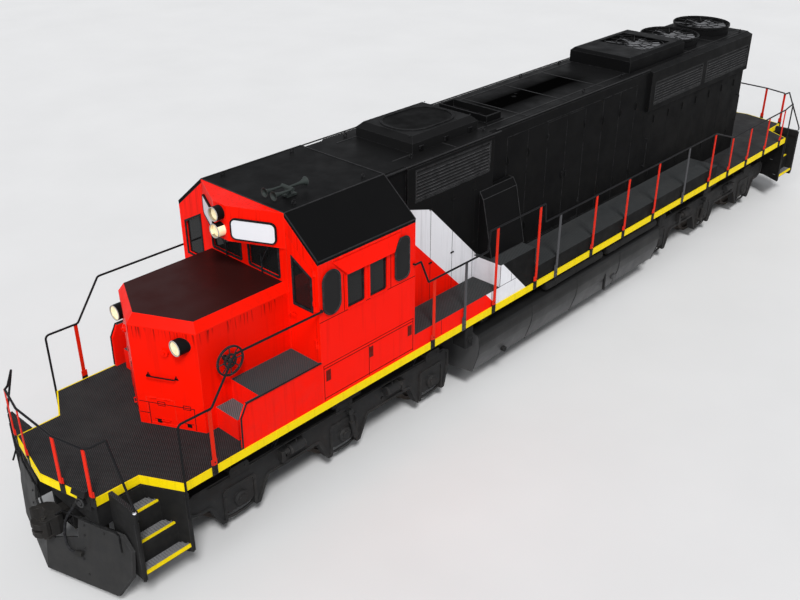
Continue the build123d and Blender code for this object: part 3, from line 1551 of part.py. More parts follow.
def traction_motor(x):
    """Axle-hung motor, on the side of its axle towards the truck's middle."""
    side = -1 if x >= 0 else 1
    near = x - side * (axle_radius + 60)
    reach = motor_length - (250 if x == 0 else axle_radius)
    motor = box(near, x + side * reach, -motor_half_width, motor_half_width, motor_bottom, motor_top)
    motor = chamfer(motor.edges().filter_by(Axis.Y), motor_chamfer)
    return motor - rod((x, -2000, wheel_radius), (x, 2000, wheel_radius), axle_radius + running_gap)


def brake_cylinder(middle):
    """Cylinder on the side frame, with its push rod and hanging lever towards the nearer end axle."""
    y = side_frame_outer_y - frame_recess + brake_cylinder_radius
    z = brake_cylinder_height
    outward = 1 if middle > 0 else -1
    start = middle - outward * brake_cylinder_length / 2
    end = middle + outward * brake_cylinder_length / 2
    shell = rod((start, y, z), (end, y, z), brake_cylinder_radius)
    shell = chamfer(shell.edges().filter_by(GeomType.CIRCLE), 14)
    lever_x = end + outward * 110
    push_rod = rod((end - outward * 20, y, z), (lever_x, y, z), brake_rod_radius)
    lever = box(lever_x - brake_lever_width / 2, lever_x + brake_lever_width / 2,
                side_frame_outer_y - frame_recess, y + brake_rod_radius, z - 150, z + brake_lever_width / 2)
    return fuse([shell, push_rod, lever])


def damper():
    """Sloping shock absorber beside the middle axle, from the journal box to the side frame."""
    frame_y = side_frame_outer_y - frame_recess
    y = side_frame_outer_y + damper_radius
    low = Vector(-damper_foot_x, y, damper_foot_height)
    high = Vector(-damper_head_x, y, damper_head_height)
    middle = low + (high - low) * 0.55
    body = rod(tuple(low), tuple(middle), damper_radius)
    upper = rod(tuple(middle), tuple(high), damper_rod_radius)
    eyes = [rod((end.X, seat_y, end.Z), (end.X, y + damper_radius, end.Z), damper_radius + 6)
            for end, seat_y in ((low, side_frame_outer_y - 10), (high, frame_y))]
    return fuse([body, upper] + eyes)


def spring_seat(x):
    """Cap of the suspension's spring pocket on top of the side frame."""
    seat = box(x - spring_seat_half_length, x + spring_seat_half_length, side_frame_inner_y + 20,
               side_frame_outer_y + 25, side_frame_top, side_frame_top + spring_seat_height)
    lip = box(x - spring_seat_half_length, x + spring_seat_half_length, side_frame_outer_y,
              side_frame_outer_y + 25, side_frame_top - 60, side_frame_top + 10)
    seat = chamfer(seat.edges().filter_by(Axis.Y).group_by(Axis.Z)[-1], 35)
    return fuse([seat, lip])


def brake_shoe(axle_x, side):
    """Left shoe against the tread on one side of an axle, and the hanger that carries it."""
    y0 = wheel_back_to_back / 2 + wheel_width - shoe_width
    y1 = y0 + shoe_width
    inner = wheel_radius + shoe_gap
    outer = inner + shoe_thickness
    ring = rod((axle_x, y0, wheel_radius), (axle_x, y1, wheel_radius), outer)
    ring -= rod((axle_x, y0 - 1, wheel_radius), (axle_x, y1 + 1, wheel_radius), inner)
    rise = outer * math.sin(math.radians(shoe_half_angle))
    shoe = ring & box(axle_x, axle_x + side * outer, y0, y1, wheel_radius - rise, wheel_radius + rise)
    back_x = axle_x + side * (outer - 12)
    hanger_top = side_frame_bottom + 2 * pedestal_depth
    hanger = box(back_x, back_x + side * hanger_width, y0 + 20, y1 - 20, wheel_radius - 60, hanger_top)
    arm = box(back_x, back_x + side * hanger_width, y0 + 20, side_frame_inner_y, hanger_top - hanger_width,
              hanger_top)
    return fuse([shoe, hanger, arm])


def truck_gear():
    """Journal boxes, traction motors, brakes and damper of one truck."""
    axles = (-axle_spacing, 0, axle_spacing)
    left = [journal_box(x) for x in axles]
    left += [brake_cylinder(middle) for middle in (-axle_spacing / 2, axle_spacing / 2)]
    left += [spring_seat(x) for x in axles]
    left += [brake_shoe(-axle_spacing, 1), brake_shoe(0, -1), brake_shoe(axle_spacing, -1), damper()]
    return both_sides(left) + [traction_motor(x) for x in axles]


def at_truck(shapes, end):
    """Move truck pieces to their place; the rear truck is turned round."""
    if end > 0:
        return [Pos(truck_half_spacing, 0, 0) * shape for shape in shapes]
    return [Pos(-truck_half_spacing, 0, 0) * Rot(0, 0, 180) * shape for shape in shapes]


# Handrails

side_stanchions = [8570, 4230, 3450, 2660, 1470, 830, -340, -1480, -2620, -3850, -5000, -5930, -6850,
                   -7790, -8650]
end_stanchions = [430, 960]
rail_y = deck_half_width + rail_radius


def left_rail_route():
    """Side handrail from the front step post to the cab."""
    return [(notch_outer_x, rail_y, 1070), (notch_outer_x, rail_y, 2560), (8530, rail_y, 2550),
            (8100, rail_y, landing_height + 870), (cab_front_x - 30, rail_y, landing_height + 860)]


def rear_side_route():
    """Side handrail from the cab's rear to the rear step post."""
    return [(cab_rear_x + 40, rail_y, landing_height + 880), (4550, rail_y, 3170), (4370, rail_y, walk_rail_height),
            (2900, rail_y, walk_rail_height), (2860, rail_y, box_rail_height),
            (1340, rail_y, box_rail_height), (1300, rail_y, walk_rail_height),
            (-5000, rail_y, walk_rail_height), (-5930, rail_y, deck_rail_height),
            (-8650, rail_y, deck_rail_height), (-notch_outer_x, rail_y, deck_rail_height + 60),
            (-notch_outer_x, rail_y, 1070)]


def rail_height_at(route, x):
    """Height of the highest rail run over a station."""
    best = None
    for start, end in zip(route, route[1:]):
        low, high = sorted((start[0], end[0]))
        if low <= x <= high and high > low:
            share = (x - start[0]) / (end[0] - start[0])
            height = start[2] + share * (end[2] - start[2])
            best = height if best is None else max(best, height)
    return best


def side_rails():
    front = pipe(left_rail_route(), rail_radius, rail_bend)
    rear = pipe(rear_side_route(), rail_radius, 15)
    anchors = [rod((cab_front_x - 30, cab_half_width, landing_height + 860), (cab_front_x - 30, rail_y, landing_height + 860), rail_radius),
               rod((cab_rear_x + 40, cab_half_width, landing_height + 880), (cab_rear_x + 40, rail_y, landing_height + 880), rail_radius)]
    return both_sides([front, rear] + anchors)


def end_rail(end):
    """Rail across one end, over the four stanchions and down to the corner posts."""
    x_apex = deck_corner_x + deck_point + foot_thickness + stanchion_thickness / 2
    outer = end_stanchions[-1]
    slope = deck_point / deck_end_half_width
    half = [(step_front_x, deck_half_width, deck_height + 15), (step_front_x, deck_half_width, deck_height + 75),
            (step_front_x, 1150, 2530), (9950, 1000, end_rail_height),
            (x_apex - slope * outer, outer - 20, end_rail_height)]
    inner = (x_apex - slope * end_stanchions[0] + 5, end_stanchions[0], end_rail_height)
    route = half + [inner] + [(x, -y, z) for x, y, z in reversed(half + [inner])]
    rail = pipe(route, rail_radius, 12)
    return rail if end > 0 else mirror(rail, about=Plane.YZ)


def side_stanchion(x, route):
    half = stanchion_width / 2
    top = min(rail_height_at(route, x - half), rail_height_at(route, x + half)) - rail_radius
    post = box(x - half, x + half, deck_half_width + foot_thickness - 2,
               deck_half_width + foot_thickness - 2 + stanchion_thickness, deck_height, top)
    foot = box(x - foot_width / 2, x + foot_width / 2, deck_half_width, deck_half_width + foot_thickness,
               deck_height - edge_band_height, deck_height + foot_height)
    return fuse([post, foot])


def end_stanchion(y):
    slope = deck_point / deck_end_half_width
    x = deck_corner_x + deck_point - slope * abs(y)
    foot = box(0, foot_thickness, -foot_width / 2, foot_width / 2, deck_height - edge_band_height,
               deck_height + foot_height)
    post = box(foot_thickness - 2, foot_thickness - 2 + stanchion_thickness, -stanchion_width / 2,
               stanchion_width / 2, deck_height, end_rail_height - rail_radius)
    return Pos(x, y, 0) * Rot(0, 0, math.degrees(math.atan(slope))) * fuse([post, foot])


def stanchions():
    shapes = []
    for x in side_stanchions:
        route = left_rail_route() if x > cab_front_x else rear_side_route()
        shapes += both_sides([side_stanchion(x, route)])
    for y in end_stanchions:
        shapes += both_ends(both_sides([end_stanchion(y)]))
    return shapes


# Brake hose at the front

hose_route = [(10060, 505, 1290), (10105, 470, 1215), (10145, 415, 1110), (10175, 385, 985),
              (10195, 375, 855), (10210, 385, 735), (10213, 430, 650), (10200, 495, 612),
              (10180, 565, 620)]
hose_radius = 19
hose_bend_share = 0.45
coupling_length = 110
coupling_radius = 34


def angle_cock():
    """Pipe end and cock that the hose hangs from."""
    start = Vector(*hose_route[0])
    direction = (Vector(*hose_route[1]) - start).normalized()
    back = start - direction * 60
    pipe_end = rod((deck_corner_x - edge_band_thickness, back.Y, back.Z), tuple(back), 26)
    return fuse([pipe_end, Pos(*back) * Sphere(32), rod(tuple(back), tuple(start), 26)])


def receptacle():
    """Jumper receptacle on its plate, on the front edge to the left of the coupler."""
    slope = deck_point / deck_end_half_width
    x = deck_corner_x + deck_point - slope * receptacle_y
    half = receptacle_width / 2
    plate = box(0, foot_thickness, -half, half, receptacle_bottom, receptacle_top)
    hood = prism_y([(foot_thickness, receptacle_top), (foot_thickness, receptacle_top - 60), (75, receptacle_top - 60),
                    (95, receptacle_top - 75), (95, receptacle_top - 60), (60, receptacle_top)], -half, half)
    middle = (receptacle_bottom + receptacle_top) / 2 - 30
    socket = rod((foot_thickness, 0, middle), (foot_thickness + 45, 0, middle), 62)
    cover = rod((foot_thickness + 45, 0, middle), (foot_thickness + 58, 0, middle), 72)
    return Pos(x, receptacle_y, 0) * Rot(0, 0, math.degrees(math.atan(slope))) * fuse([plate, hood, socket, cover])


def hose():
    points = [Vector(*point) for point in hose_route]
    runs = [(second - first).length for first, second in zip(points, points[1:])]
    radii = []
    for index in range(1, len(points) - 1):
        turn = (points[index] - points[index - 1]).get_angle(points[index + 1] - points[index])
        radii.append(hose_bend_share * min(runs[index - 1], runs[index]) / math.tan(math.radians(turn / 2)))
    path = FilletPolyline(*points, radius=radii)
    return sweep(Plane(origin=path @ 0, z_dir=path % 0) * Circle(hose_radius), path=path)


def hose_coupling():
    """Fitting on the hose's free end."""
    end = Vector(*hose_route[-1])
    direction = (end - Vector(*hose_route[-2])).normalized()
    return rod(tuple(end), tuple(end + direction * coupling_length), coupling_radius)


def main():
    os.makedirs("parts", exist_ok=True)
    save("underframe", [underframe(), angle_cock(), receptacle()])
    save("deck_edge", [deck_edge()])
    save("step_wells", both_ends(both_sides([step_well()])))
    save("plow", [plow()])
    save("rear_pilot", [rear_pilot()])
    save("coupler_front", coupler(1))
    save("coupler_rear", coupler(-1))
    save("fuel_tank", [fuel_tank()])
    front_x = reservoir_front_x
    reservoirs = [air_reservoir(front_x), air_reservoir(front_x - reservoir_length - reservoir_gap)]
    save("air_reservoirs", both_sides(reservoirs))
    save("raised_walkways", [raised_walkway(1), raised_walkway(-1)])
    save("blower_duct", [blower_duct()])
    save("battery_boxes", both_sides([battery_box()]))
    save("nose_shell", [nose_shell()])
    save("nose_lamps", nose_lamps())
    save("brake_wheel", [brake_wheel()])
    save("cab_walls", cab_walls())
    front_door, front_glass = cab_door(cab_front_x, 1, 1)
    rear_door, rear_glass = cab_door(cab_rear_x, -1, -1)
    save("cab_door_front", front_door + front_glass)
    save("cab_door_rear", rear_door + rear_glass)
    save("cab_roof", [cab_roof()])
    save("cab_glass", cab_glass())
    save("cab_floor", [cab_floor()])
    middle_x = (cab_front_x + cab_rear_x) / 2
    save("crew_seats", [crew_seat(middle_x, side * seat_spacing / 2) for side in (-1, 1)])
    save("control_stand", [control_stand()])
    save("headlights", headlights())
    save("number_boards", number_boards())
    save("sunshades", both_sides([sunshade()]))
    shade_rear, shade_front = sunshade_span()
    save("wind_deflectors", both_sides([wind_deflector(shade_rear - deflector_gap, True),
                                        wind_deflector(shade_front + deflector_gap, False)]))
    save("horn", [horn()])
    save("hood_intake", [hood_intake()])
    save("hood_engine", [hood_engine()])
    save("hood_radiator", [hood_radiator()])
    save("hood_grilles", hood_grilles())
    save("filter_hatch", [filter_hatch()])
    save("exhaust_stack", [exhaust_stack()])
    save("fan_box", [fan_box()])
    fixed = []
    for index, (x, top) in enumerate(fan_places()):
        guard = fan_guard(x, top)
        fixed += [guard if index == 0 else fuse([fan_shroud(x, top), guard]), fan_motor(x, top)]
        save(f"fan_{index + 1}", [fan_rotor(x, top)])
    save("fan_shrouds", fixed)
    save("engine_block", [engine_block()])
    for side, name in ((1, "left"), (-1, "right")):
        save(f"hood_door_{name}_front", [hood_door(0, side)])
        save(f"hood_door_{name}_rear", [hood_door(1, side)])
    frame = truck_frame()
    gear = truck_gear()
    wheels = wheelset()
    number = 0
    for end, name in ((1, "front"), (-1, "rear")):
        save(f"truck_frame_{name}", at_truck([frame], end))
        save(f"truck_gear_{name}", at_truck(gear, end))
        for x in (axle_spacing, 0, -axle_spacing):
            number += 1
            save(f"wheelset_{number}", at_truck([Pos(x, 0, wheel_radius) * wheels], end))
    save("handrails", side_rails() + [end_rail(1), end_rail(-1)])
    save("stanchions", stanchions())
    save("brake_hose", [hose()])
    save("hose_coupling", [hose_coupling()])


main()
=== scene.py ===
import math

import bmesh
import bpy
from mathutils import Matrix, Vector


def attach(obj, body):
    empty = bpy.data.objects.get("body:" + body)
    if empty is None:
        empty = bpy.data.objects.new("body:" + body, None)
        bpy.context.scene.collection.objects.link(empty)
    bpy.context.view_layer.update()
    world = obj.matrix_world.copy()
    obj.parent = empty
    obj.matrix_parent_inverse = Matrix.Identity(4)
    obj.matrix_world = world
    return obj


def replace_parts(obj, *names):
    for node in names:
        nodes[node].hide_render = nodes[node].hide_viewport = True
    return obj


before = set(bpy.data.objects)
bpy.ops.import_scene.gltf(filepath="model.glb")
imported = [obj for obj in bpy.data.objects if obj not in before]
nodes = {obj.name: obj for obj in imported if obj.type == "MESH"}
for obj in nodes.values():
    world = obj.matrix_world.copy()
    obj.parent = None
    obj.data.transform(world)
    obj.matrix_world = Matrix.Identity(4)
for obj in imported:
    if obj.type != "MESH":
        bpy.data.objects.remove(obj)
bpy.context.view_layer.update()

RAIL = 0.028  # height of the rail head over the flange bottoms, where Z is 0
FLOOR_REACH = 150  # from the middle of the floor to its edges
ALONG, ACROSS, UPWARD = (1, 0, 0), (0, 1, 0), (0, 0, 1)

# Stations, in metres along X, and heights above the rail head
CAB_REAR, CAB_FRONT = 4.643, 6.601
CAB_ENDS = (("front", CAB_FRONT, 1), ("rear", CAB_REAR, -1))  # name, wall, and both its facing and its door's side
CAB_WALL_Y = 1.54
SIDE_WINDOWS = ((5.26, 5.62), (5.71, 6.07))
WINDOW_LOW, WINDOW_HIGH = 2.98, 3.53
CROWN_Y, EAVE_Z, CROWN_Z = 0.909, 3.898, 4.42
HATCH_X = 2.90
INTAKE_REAR, ENGINE_REAR, HOOD_REAR = 1.87, -3.10, -7.45
INTAKE_WALL_Y, HOOD_WALL_Y, HOOD_ROOF_Z = 0.95, 0.85, 4.40
INTAKE_DOORS = (3.62, 3.07, 2.52)
RADIATOR_DOORS = [-3.45 - 0.6 * index for index in range(7)]
TRUCK_X, AXLES, CYLINDERS = 5.86, (-2.065, 0, 2.065), (-1.0325, 1.0325)
POSTS = (8.57, 4.23, 3.45, 2.66, 1.47, 0.83, -0.34, -1.48, -2.62, -3.85, -5.0, -5.93, -6.85, -7.79, -8.65)
GREY_POSTS = (3.45, 0.83, -3.85)
# the nose's left slanted face: the way it looks, its place along that and where it meets the centreline
NOSE_OUT, NOSE_FACE, NOSE_APEX = (0.894, 0.457), 7.7268, 8.643

# The bands: where the white and the red begin along X - Z, and where the white ends along Z - 0.3 X
WHITE_START, RED_START, WHITE_TOP = 0.056, 0.907, 2.482

EDGE_WIDTH = 0.012  # of the wear along edges
WORLD_LIGHT, BACKDROP_SEEN = 0.45, 0.78

# Colours, linear
RED = (0.86, 0.0065, 0.0005)
DARK_RED = (0.13, 0.005, 0.001)
# pale red along the cab's and nose's edges: painted edge highlight over paint wear
EDGE_HIGHLIGHT_RED = (0.80, 0.060, 0.030)
YELLOW = (0.82, 0.62, 0.002)
WHITE = (0.72, 0.72, 0.75)
BLACK = (0.0046, 0.0046, 0.0048)
DECK_GREY = (0.024, 0.026, 0.0265)
UNDER_GREY = (0.0115, 0.0115, 0.0118)
TREAD_GREY = (0.25, 0.25, 0.26)
# pale greys along edges: paint wear and painted edge highlights
EDGE_HIGHLIGHT_GREY = (0.055, 0.055, 0.057)
RUBBED_AND_HIGHLIT_GREY = (0.09, 0.09, 0.092)
RUBBED_IRON = (0.075, 0.07, 0.065)
# paler black of the hood roof: painted light on a top face
LIT_ROOF_BLACK = (0.0062, 0.0062, 0.0064)
STEEL = (0.36, 0.34, 0.32)
RUST = (0.026, 0.018, 0.014)
DUST = (0.050, 0.048, 0.045)
GRIME = (0.006, 0.0055, 0.005)
SOOT = (0.0010, 0.0010, 0.0010)
CREAM = (0.90, 0.72, 0.40)
RUBBER = (0.010, 0.010, 0.011)
FAN_GREY = (0.125, 0.126, 0.132)
MACHINE_GREEN = (0.22, 0.30, 0.26)


# Camera, light and floor

def add_object(name, data):
    item = bpy.data.objects.new(name, data)
    bpy.context.scene.collection.objects.link(item)
    return item


def set_camera():
    data = bpy.data.cameras.new("camera")
    data.sensor_width = 36
    data.lens = 43.863
    data.clip_end = 400
    camera = add_object("camera", data)
    camera.location = (14.372, 10.228, 9.685 + RAIL)
    camera.rotation_euler = [math.radians(angle) for angle in (61.290, -0.070, 132.799)]
    bpy.context.scene.camera = camera


def add_sun(name, towards, energy, softness):
    data = bpy.data.lights.new(name, "SUN")
    data.energy = energy
    data.angle = math.radians(softness)
    add_object(name, data).rotation_euler = Vector(towards).to_track_quat("-Z", "Y").to_euler()


def set_studio():
    add_sun("key", (-7, -10, -16), 2.6, 14)
    add_sun("front_fill", (-14, -3, -7), 1.3, 30)
    world = bpy.data.worlds.new("studio")
    world.use_nodes = True
    bpy.context.scene.world = world
    bpy.context.scene.view_settings.view_transform = "Standard"
    sky = Nodes(world.node_tree)
    background = sky.tree.nodes["Background"].inputs
    sky.join((0.94, 0.96, 1.0), background["Color"])
    # seen by the camera, in gloss and through glass, the backdrop is as pale as the floor
    seen = [sky.node("LightPath", f"Is {kind} Ray") for kind in ("Camera", "Glossy", "Transmission")]
    sky.join(sky.span(sky.fold("MAXIMUM", seen), 0, 1, WORLD_LIGHT, BACKDROP_SEEN), background["Strength"])


# Materials

class Nodes:
    """Short calls that add and join the nodes of one tree; a colour is red, green and blue."""

    def __init__(self, tree):
        self.tree = tree

    def node(self, kind, output, inputs=None, **settings):
        """Add a node, set or join its inputs, and give one of its outputs."""
        node = self.tree.nodes.new("ShaderNode" + kind)
        for key, value in settings.items():
            setattr(node, key, value)
        for key, value in (inputs or {}).items():
            self.join(value, node.inputs[key])
        return node.outputs[output]

    def join(self, value, socket):
        if isinstance(value, bpy.types.NodeSocket):
            self.tree.links.new(value, socket)
        else:
            socket.default_value = (*value, 1) if socket.type == "RGBA" else value

    def math(self, operation, first, second=0.0):
        return self.node("Math", 0, {0: first, 1: second}, operation=operation)

    def fold(self, operation, values):
        """One operation carried through several values."""
        result = values[0]
        for value in values[1:]:
            result = self.math(operation, result, value)
        return result

    def times(self, *values):
        return self.fold("MULTIPLY", values)

    def span(self, value, low, high, to_low=0.0, to_high=1.0):
        """value from low to high becomes to_low to to_high, and stays there beyond."""
        inputs = {"Value": value, "From Min": low, "From Max": high, "To Min": to_low, "To Max": to_high}
        return self.node("MapRange", "Result", inputs)


class Paint(Nodes):
    """One material and its shader."""

    def __init__(self, name, color=BLACK, roughness=0.5, gloss=0.05):
        self.material = bpy.data.materials.new(name)
        self.material.use_nodes = True
        super().__init__(self.material.node_tree)
        self.shader = self.tree.nodes["Principled BSDF"]
        self.put("Base Color", color)
        self.put("Roughness", roughness)
        self.put("Specular IOR Level", gloss)
        self.place = self.node("TexCoord", "Object")

    def put(self, name, value):
        self.join(value, self.shader.inputs[name])

    def mapped(self, scale, turn=0.0):
        inputs = {"Vector": self.place, "Scale": scale, "Rotation": (0, 0, math.radians(turn))}
        return self.node("Mapping", "Vector", inputs)

    def axis(self, name):
        return self.node("SeparateXYZ", name, {0: self.place})

    def facing(self, name):
        """Part of the face normal along an axis."""
        return self.node("SeparateXYZ", name, {0: self.node("NewGeometry", "True Normal")})

    def noise(self, scale, detail, roughness=0.55, vector=None):
        inputs = {"Vector": vector or self.place, "Scale": scale, "Detail": detail, "Roughness": roughness}
        return self.node("TexNoise", "Fac", inputs)

    def along(self, axis, low, high, to_low=0.0, to_high=1.0):
        """span() of the place along an axis."""
        return self.span(self.axis(axis), low, high, to_low, to_high)

    def patches(self, scale, detail, low, high, roughness=0.55):
        """Blotches of noise between two levels."""
        return self.span(self.noise(scale, detail, roughness), low, high)

    def runs(self, fine, drop, detail, low, high):
        """Streaks that run down."""
        return self.span(self.noise(1.0, detail, 0.6, self.mapped((fine, fine, drop))), low, high)

    def within(self, axis, low, high, soft=0.004):
        """1 between two stations along an axis, 0 elsewhere."""
        return self.times(self.along(axis, low - soft, low + soft), self.along(axis, high - soft, high + soft, 1, 0))

    def disc(self, centre, radius):
        """1 within a radius of the line along X through (y, z)."""
        squares = [self.math("POWER", self.math("SUBTRACT", self.axis(axis), middle), 2.0)
                   for axis, middle in zip("YZ", centre)]
        distance = self.math("SQRT", self.math("ADD", *squares))
        return self.span(distance, radius - 0.001, radius + 0.001, 1, 0)

    def mix(self, factor, first, second):
        return self.node("Mix", 2, {0: factor, 6: first, 7: second}, data_type="RGBA")

    def bump(self, height, strength, distance):
        inputs = {"Strength": strength, "Distance": distance, "Height": height}
        self.put("Normal", self.node("Bump", "Normal", inputs))

    def edges(self):
        """1 where the surface turns sharply."""
        normals = {0: self.node("Bevel", "Normal", {"Radius": EDGE_WIDTH}, samples=4),
                   1: self.node("NewGeometry", "Normal")}
        return self.span(self.node("VectorMath", "Value", normals, operation="DOT_PRODUCT"), 0.99, 0.85)


def weathered(paint, color, dust, streaks, low=0.3, high=2.4):
    """Colour with faded patches, runs down the sides and dust that thickens towards the ground."""
    tone = paint.mix(paint.times(paint.patches(0.9, 5, 0.45, 0.8), 0.3 * dust), color, DUST)
    tone = paint.mix(paint.times(paint.runs(11.0, 0.6, 5, 0.52, 0.80), streaks), tone, GRIME)
    low_down = paint.times(paint.along("Z", low, high, 1, 0), paint.patches(5.0, 6, 0.38, 0.72, 0.7), dust)
    return paint.mix(low_down, tone, DUST)


def worn_and_highlit(paint, color, under, amount):
    """Another colour along the edges: wear of the paint, and where that colour is a pale grey or red, also a painted
    edge highlight.
    """
    return paint.mix(paint.times(paint.edges(), paint.patches(9.0, 5, 0.36, 0.60, 0.7), amount), color, under)


def finish(paint, tone, roughness):
    """Colour, uneven gloss, and the slight waves and grain of painted sheet."""
    paint.put("Base Color", tone)
    paint.put("Roughness", paint.span(paint.noise(3.0, 5), 0.3, 0.7, roughness - 0.07, roughness + 0.13))
    grain = paint.times(paint.noise(70.0, 3), 0.12)
    paint.bump(paint.math("ADD", paint.noise(1.9, 2), grain), 0.10, 0.01)
    return paint.material


def painted_metal(name, color, roughness, dust, streaks, wear=0.5, under=EDGE_HIGHLIGHT_GREY, gloss=0.05):
    paint = Paint(name, gloss=gloss)
    return finish(paint, worn_and_highlit(paint, weathered(paint, color, dust, streaks), under, wear), roughness)


def livery(paint):
    """Black, white and red bands with 45 degree edges, split by how far forward and how low a point is."""
    forward = paint.math("SUBTRACT", paint.axis("X"), paint.axis("Z"))
    # the white band's top is cut by a flatter slope
    slope = paint.math("SUBTRACT", paint.axis("Z"), paint.times(paint.axis("X"), 0.30))
    white = paint.times(paint.span(forward, WHITE_START - 0.004, WHITE_START + 0.004),
                        paint.span(slope, WHITE_TOP - 0.004, WHITE_TOP + 0.004, 1, 0))
    red = paint.span(forward, RED_START - 0.004, RED_START + 0.004)
    return paint.mix(red, paint.mix(white, BLACK, WHITE), RED)


def hood_paint():
    """Banded hood, sooted behind the stack; its roof is a paler black than its sides, painted light on the top faces.
    """
    paint = Paint("hood_bands", gloss=0.02)
    roof = paint.along("Z", 4.360, 4.368)
    # the roof's paler black is painted light on the top faces
    tone = paint.mix(roof, livery(paint), LIT_ROOF_BLACK)
    tone = worn_and_highlit(paint, weathered(paint, tone, 0.12, 0.30, 1.6, 3.2), EDGE_HIGHLIGHT_GREY, 0.7)
    plume = paint.span(paint.math("ABSOLUTE", paint.axis("Y")), 0.18, 0.66, 1, 0)
    soot = paint.times(paint.within("X", -1.9, 1.4, 0.5), plume, roof, paint.patches(3.0, 4, 0.10, 0.32))
    paint.put("Specular IOR Level", paint.span(soot, 0, 1, 0.02, 0.0))
    return finish(paint, paint.mix(soot, tone, SOOT), 0.44)


def nose_paint():
    """Red nose with a black top, runs under its drip edge and black grab irons on its slanted front."""
    paint = Paint("nose_red")
    top = paint.times(paint.span(paint.facing("Z"), 0.97, 0.99), paint.along("Z", 3.35, 3.36))
    # edges: painted highlight, pale red on the sides and grey on the black top
    edge_wear_and_highlight = paint.mix(top, EDGE_HIGHLIGHT_RED, EDGE_HIGHLIGHT_GREY)
    tone = worn_and_highlit(paint, weathered(paint, paint.mix(top, RED, BLACK), 0.08, 0.2), edge_wear_and_highlight, 0.5)
    below_edge = paint.times(paint.along("Z", 3.02, 3.20), paint.along("Z", 3.215, 3.225, 1, 0))
    drips = paint.times(paint.runs(30.0, 1.2, 3, 0.52, 0.62), below_edge, 0.75)
    tone = paint.mix(drips, tone, (0.03, 0.003, 0.002))
    # the red darkens towards the drip edge: painted shade under it
    tone = paint.mix(paint.along("Z", 2.30, 3.20, 0.0, 0.16), tone, DARK_RED)
    ahead = paint.math("ADD", paint.times(paint.axis("X"), NOSE_OUT[0]),
                       paint.times(paint.math("ABSOLUTE", paint.axis("Y")), NOSE_OUT[1]))
    proud = paint.times(paint.span(ahead, NOSE_FACE + 0.010, NOSE_FACE + 0.014), paint.within("Z", 2.38, 2.56))
    return finish(paint, paint.mix(proud, tone, BLACK), 0.38)


def cab_paint():
    """Red cab with painted shade under its eaves, broken into dark runs of dirt."""
    paint = Paint("cab_red")
    # painted shade under the eaves, broken into streaks of dirt running down
    eave_shade_and_runs = paint.times(paint.along("Z", 3.55, 3.95), paint.runs(26.0, 0.9, 5, 0.48, 0.72), 0.35)
    tone = paint.mix(eave_shade_and_runs, weathered(paint, RED, 0.10, 0.2), DARK_RED)
    return finish(paint, worn_and_highlit(paint, tone, EDGE_HIGHLIGHT_RED, 0.5), 0.38)


def lozenges(paint, pitch):
    """Raised diagonal pattern of anti-slip plate."""
    bands = [paint.node("TexWave", "Fac", {"Vector": paint.mapped((1, 1, 1), turn), "Scale": 0.314 / pitch},
                        wave_type="BANDS", bands_direction="X", wave_profile="SIN") for turn in (45, -45)]
    return paint.span(paint.times(*bands), 0.30, 0.55)


def tread_plate(name, color, sides=None, pattern=TREAD_GREY):
    """Anti-slip plate on the upward faces, plain paint on the others, which may follow the bands."""
    paint = Paint(name)
    up = paint.span(paint.facing("Z"), 0.6, 0.8)
    mark = paint.times(lozenges(paint, 0.026), up)
    base = livery(paint) if sides == "bands" else sides or color
    tone = paint.mix(up, weathered(paint, base, 0.25, 0.25, 0.4, 3.0), color)
    tone = paint.mix(paint.times(mark, 0.16), tone, pattern)
    # the low landing steps are rubbed pale
    step = paint.times(paint.within("Z", 1.90, 2.10), paint.within("X", 7.69, 8.00), up)
    tone = paint.mix(paint.times(step, paint.span(mark, 0, 1, 0.15, 0.7)), tone, TREAD_GREY)
    trodden = paint.times(paint.patches(1.1, 5, 0.45, 0.70), up, 0.22)
    paint.put("Base Color", worn_and_highlit(paint, paint.mix(trodden, tone, DUST), EDGE_HIGHLIGHT_GREY, 0.4))
    paint.put("Roughness", paint.span(paint.noise(4.0, 5), 0.3, 0.7, 0.52, 0.75))
    paint.bump(mark, 0.5, 0.004)
    return paint.material


def cast_metal(name, color, rust=0.30):
    """Rough dark casting with brown rust and road dust."""
    paint = Paint(name, gloss=0.08)
    tone = paint.mix(paint.times(paint.patches(2.6, 7, 0.45, 0.75, 0.65), rust), color, RUST)
    tone = paint.mix(paint.times(paint.patches(9.0, 6, 0.52, 0.78, 0.7), 0.35), tone, DUST)
    paint.put("Base Color", worn_and_highlit(paint, tone, RUBBED_IRON, 0.7))
    paint.put("Roughness", paint.span(paint.noise(5.0, 4), 0.3, 0.7, 0.52, 0.77))
    paint.bump(paint.noise(38.0, 6, 0.65), 0.30, 0.005)
    return paint.material


def glass(name):
    # near black and partly opaque, so the pane carries painted shade of the cab's dark inside
    paint = Paint(name, (0.014, 0.015, 0.015), gloss=0.3)
    paint.put("Transmission Weight", 0.4)
    paint.put("IOR", 1.30)
    paint.put("Roughness", paint.span(paint.noise(7.0, 4), 0.45, 0.8, 0.02, 0.14))
    return paint.material


def lamp_paint(name, places, radius):
    """Dark lamp housings with cream lenses at several (y, z) places."""
    paint = Paint(name)
    lens = paint.fold("MAXIMUM", [paint.disc(place, radius) for place in places])
    cream = paint.mix(paint.patches(26.0, 2, 0.35, 0.65), CREAM, (1.0, 0.88, 0.62))
    paint.put("Base Color", paint.mix(lens, worn_and_highlit(paint, BLACK, EDGE_HIGHLIGHT_GREY, 0.9), cream))
    paint.put("Roughness", paint.span(lens, 0, 1, 0.45, 0.12))
    paint.put("Coat Weight", lens)
    paint.put("Emission Color", (1.0, 0.80, 0.48))
    paint.put("Emission Strength", paint.times(lens, 0.18))
    return paint.material


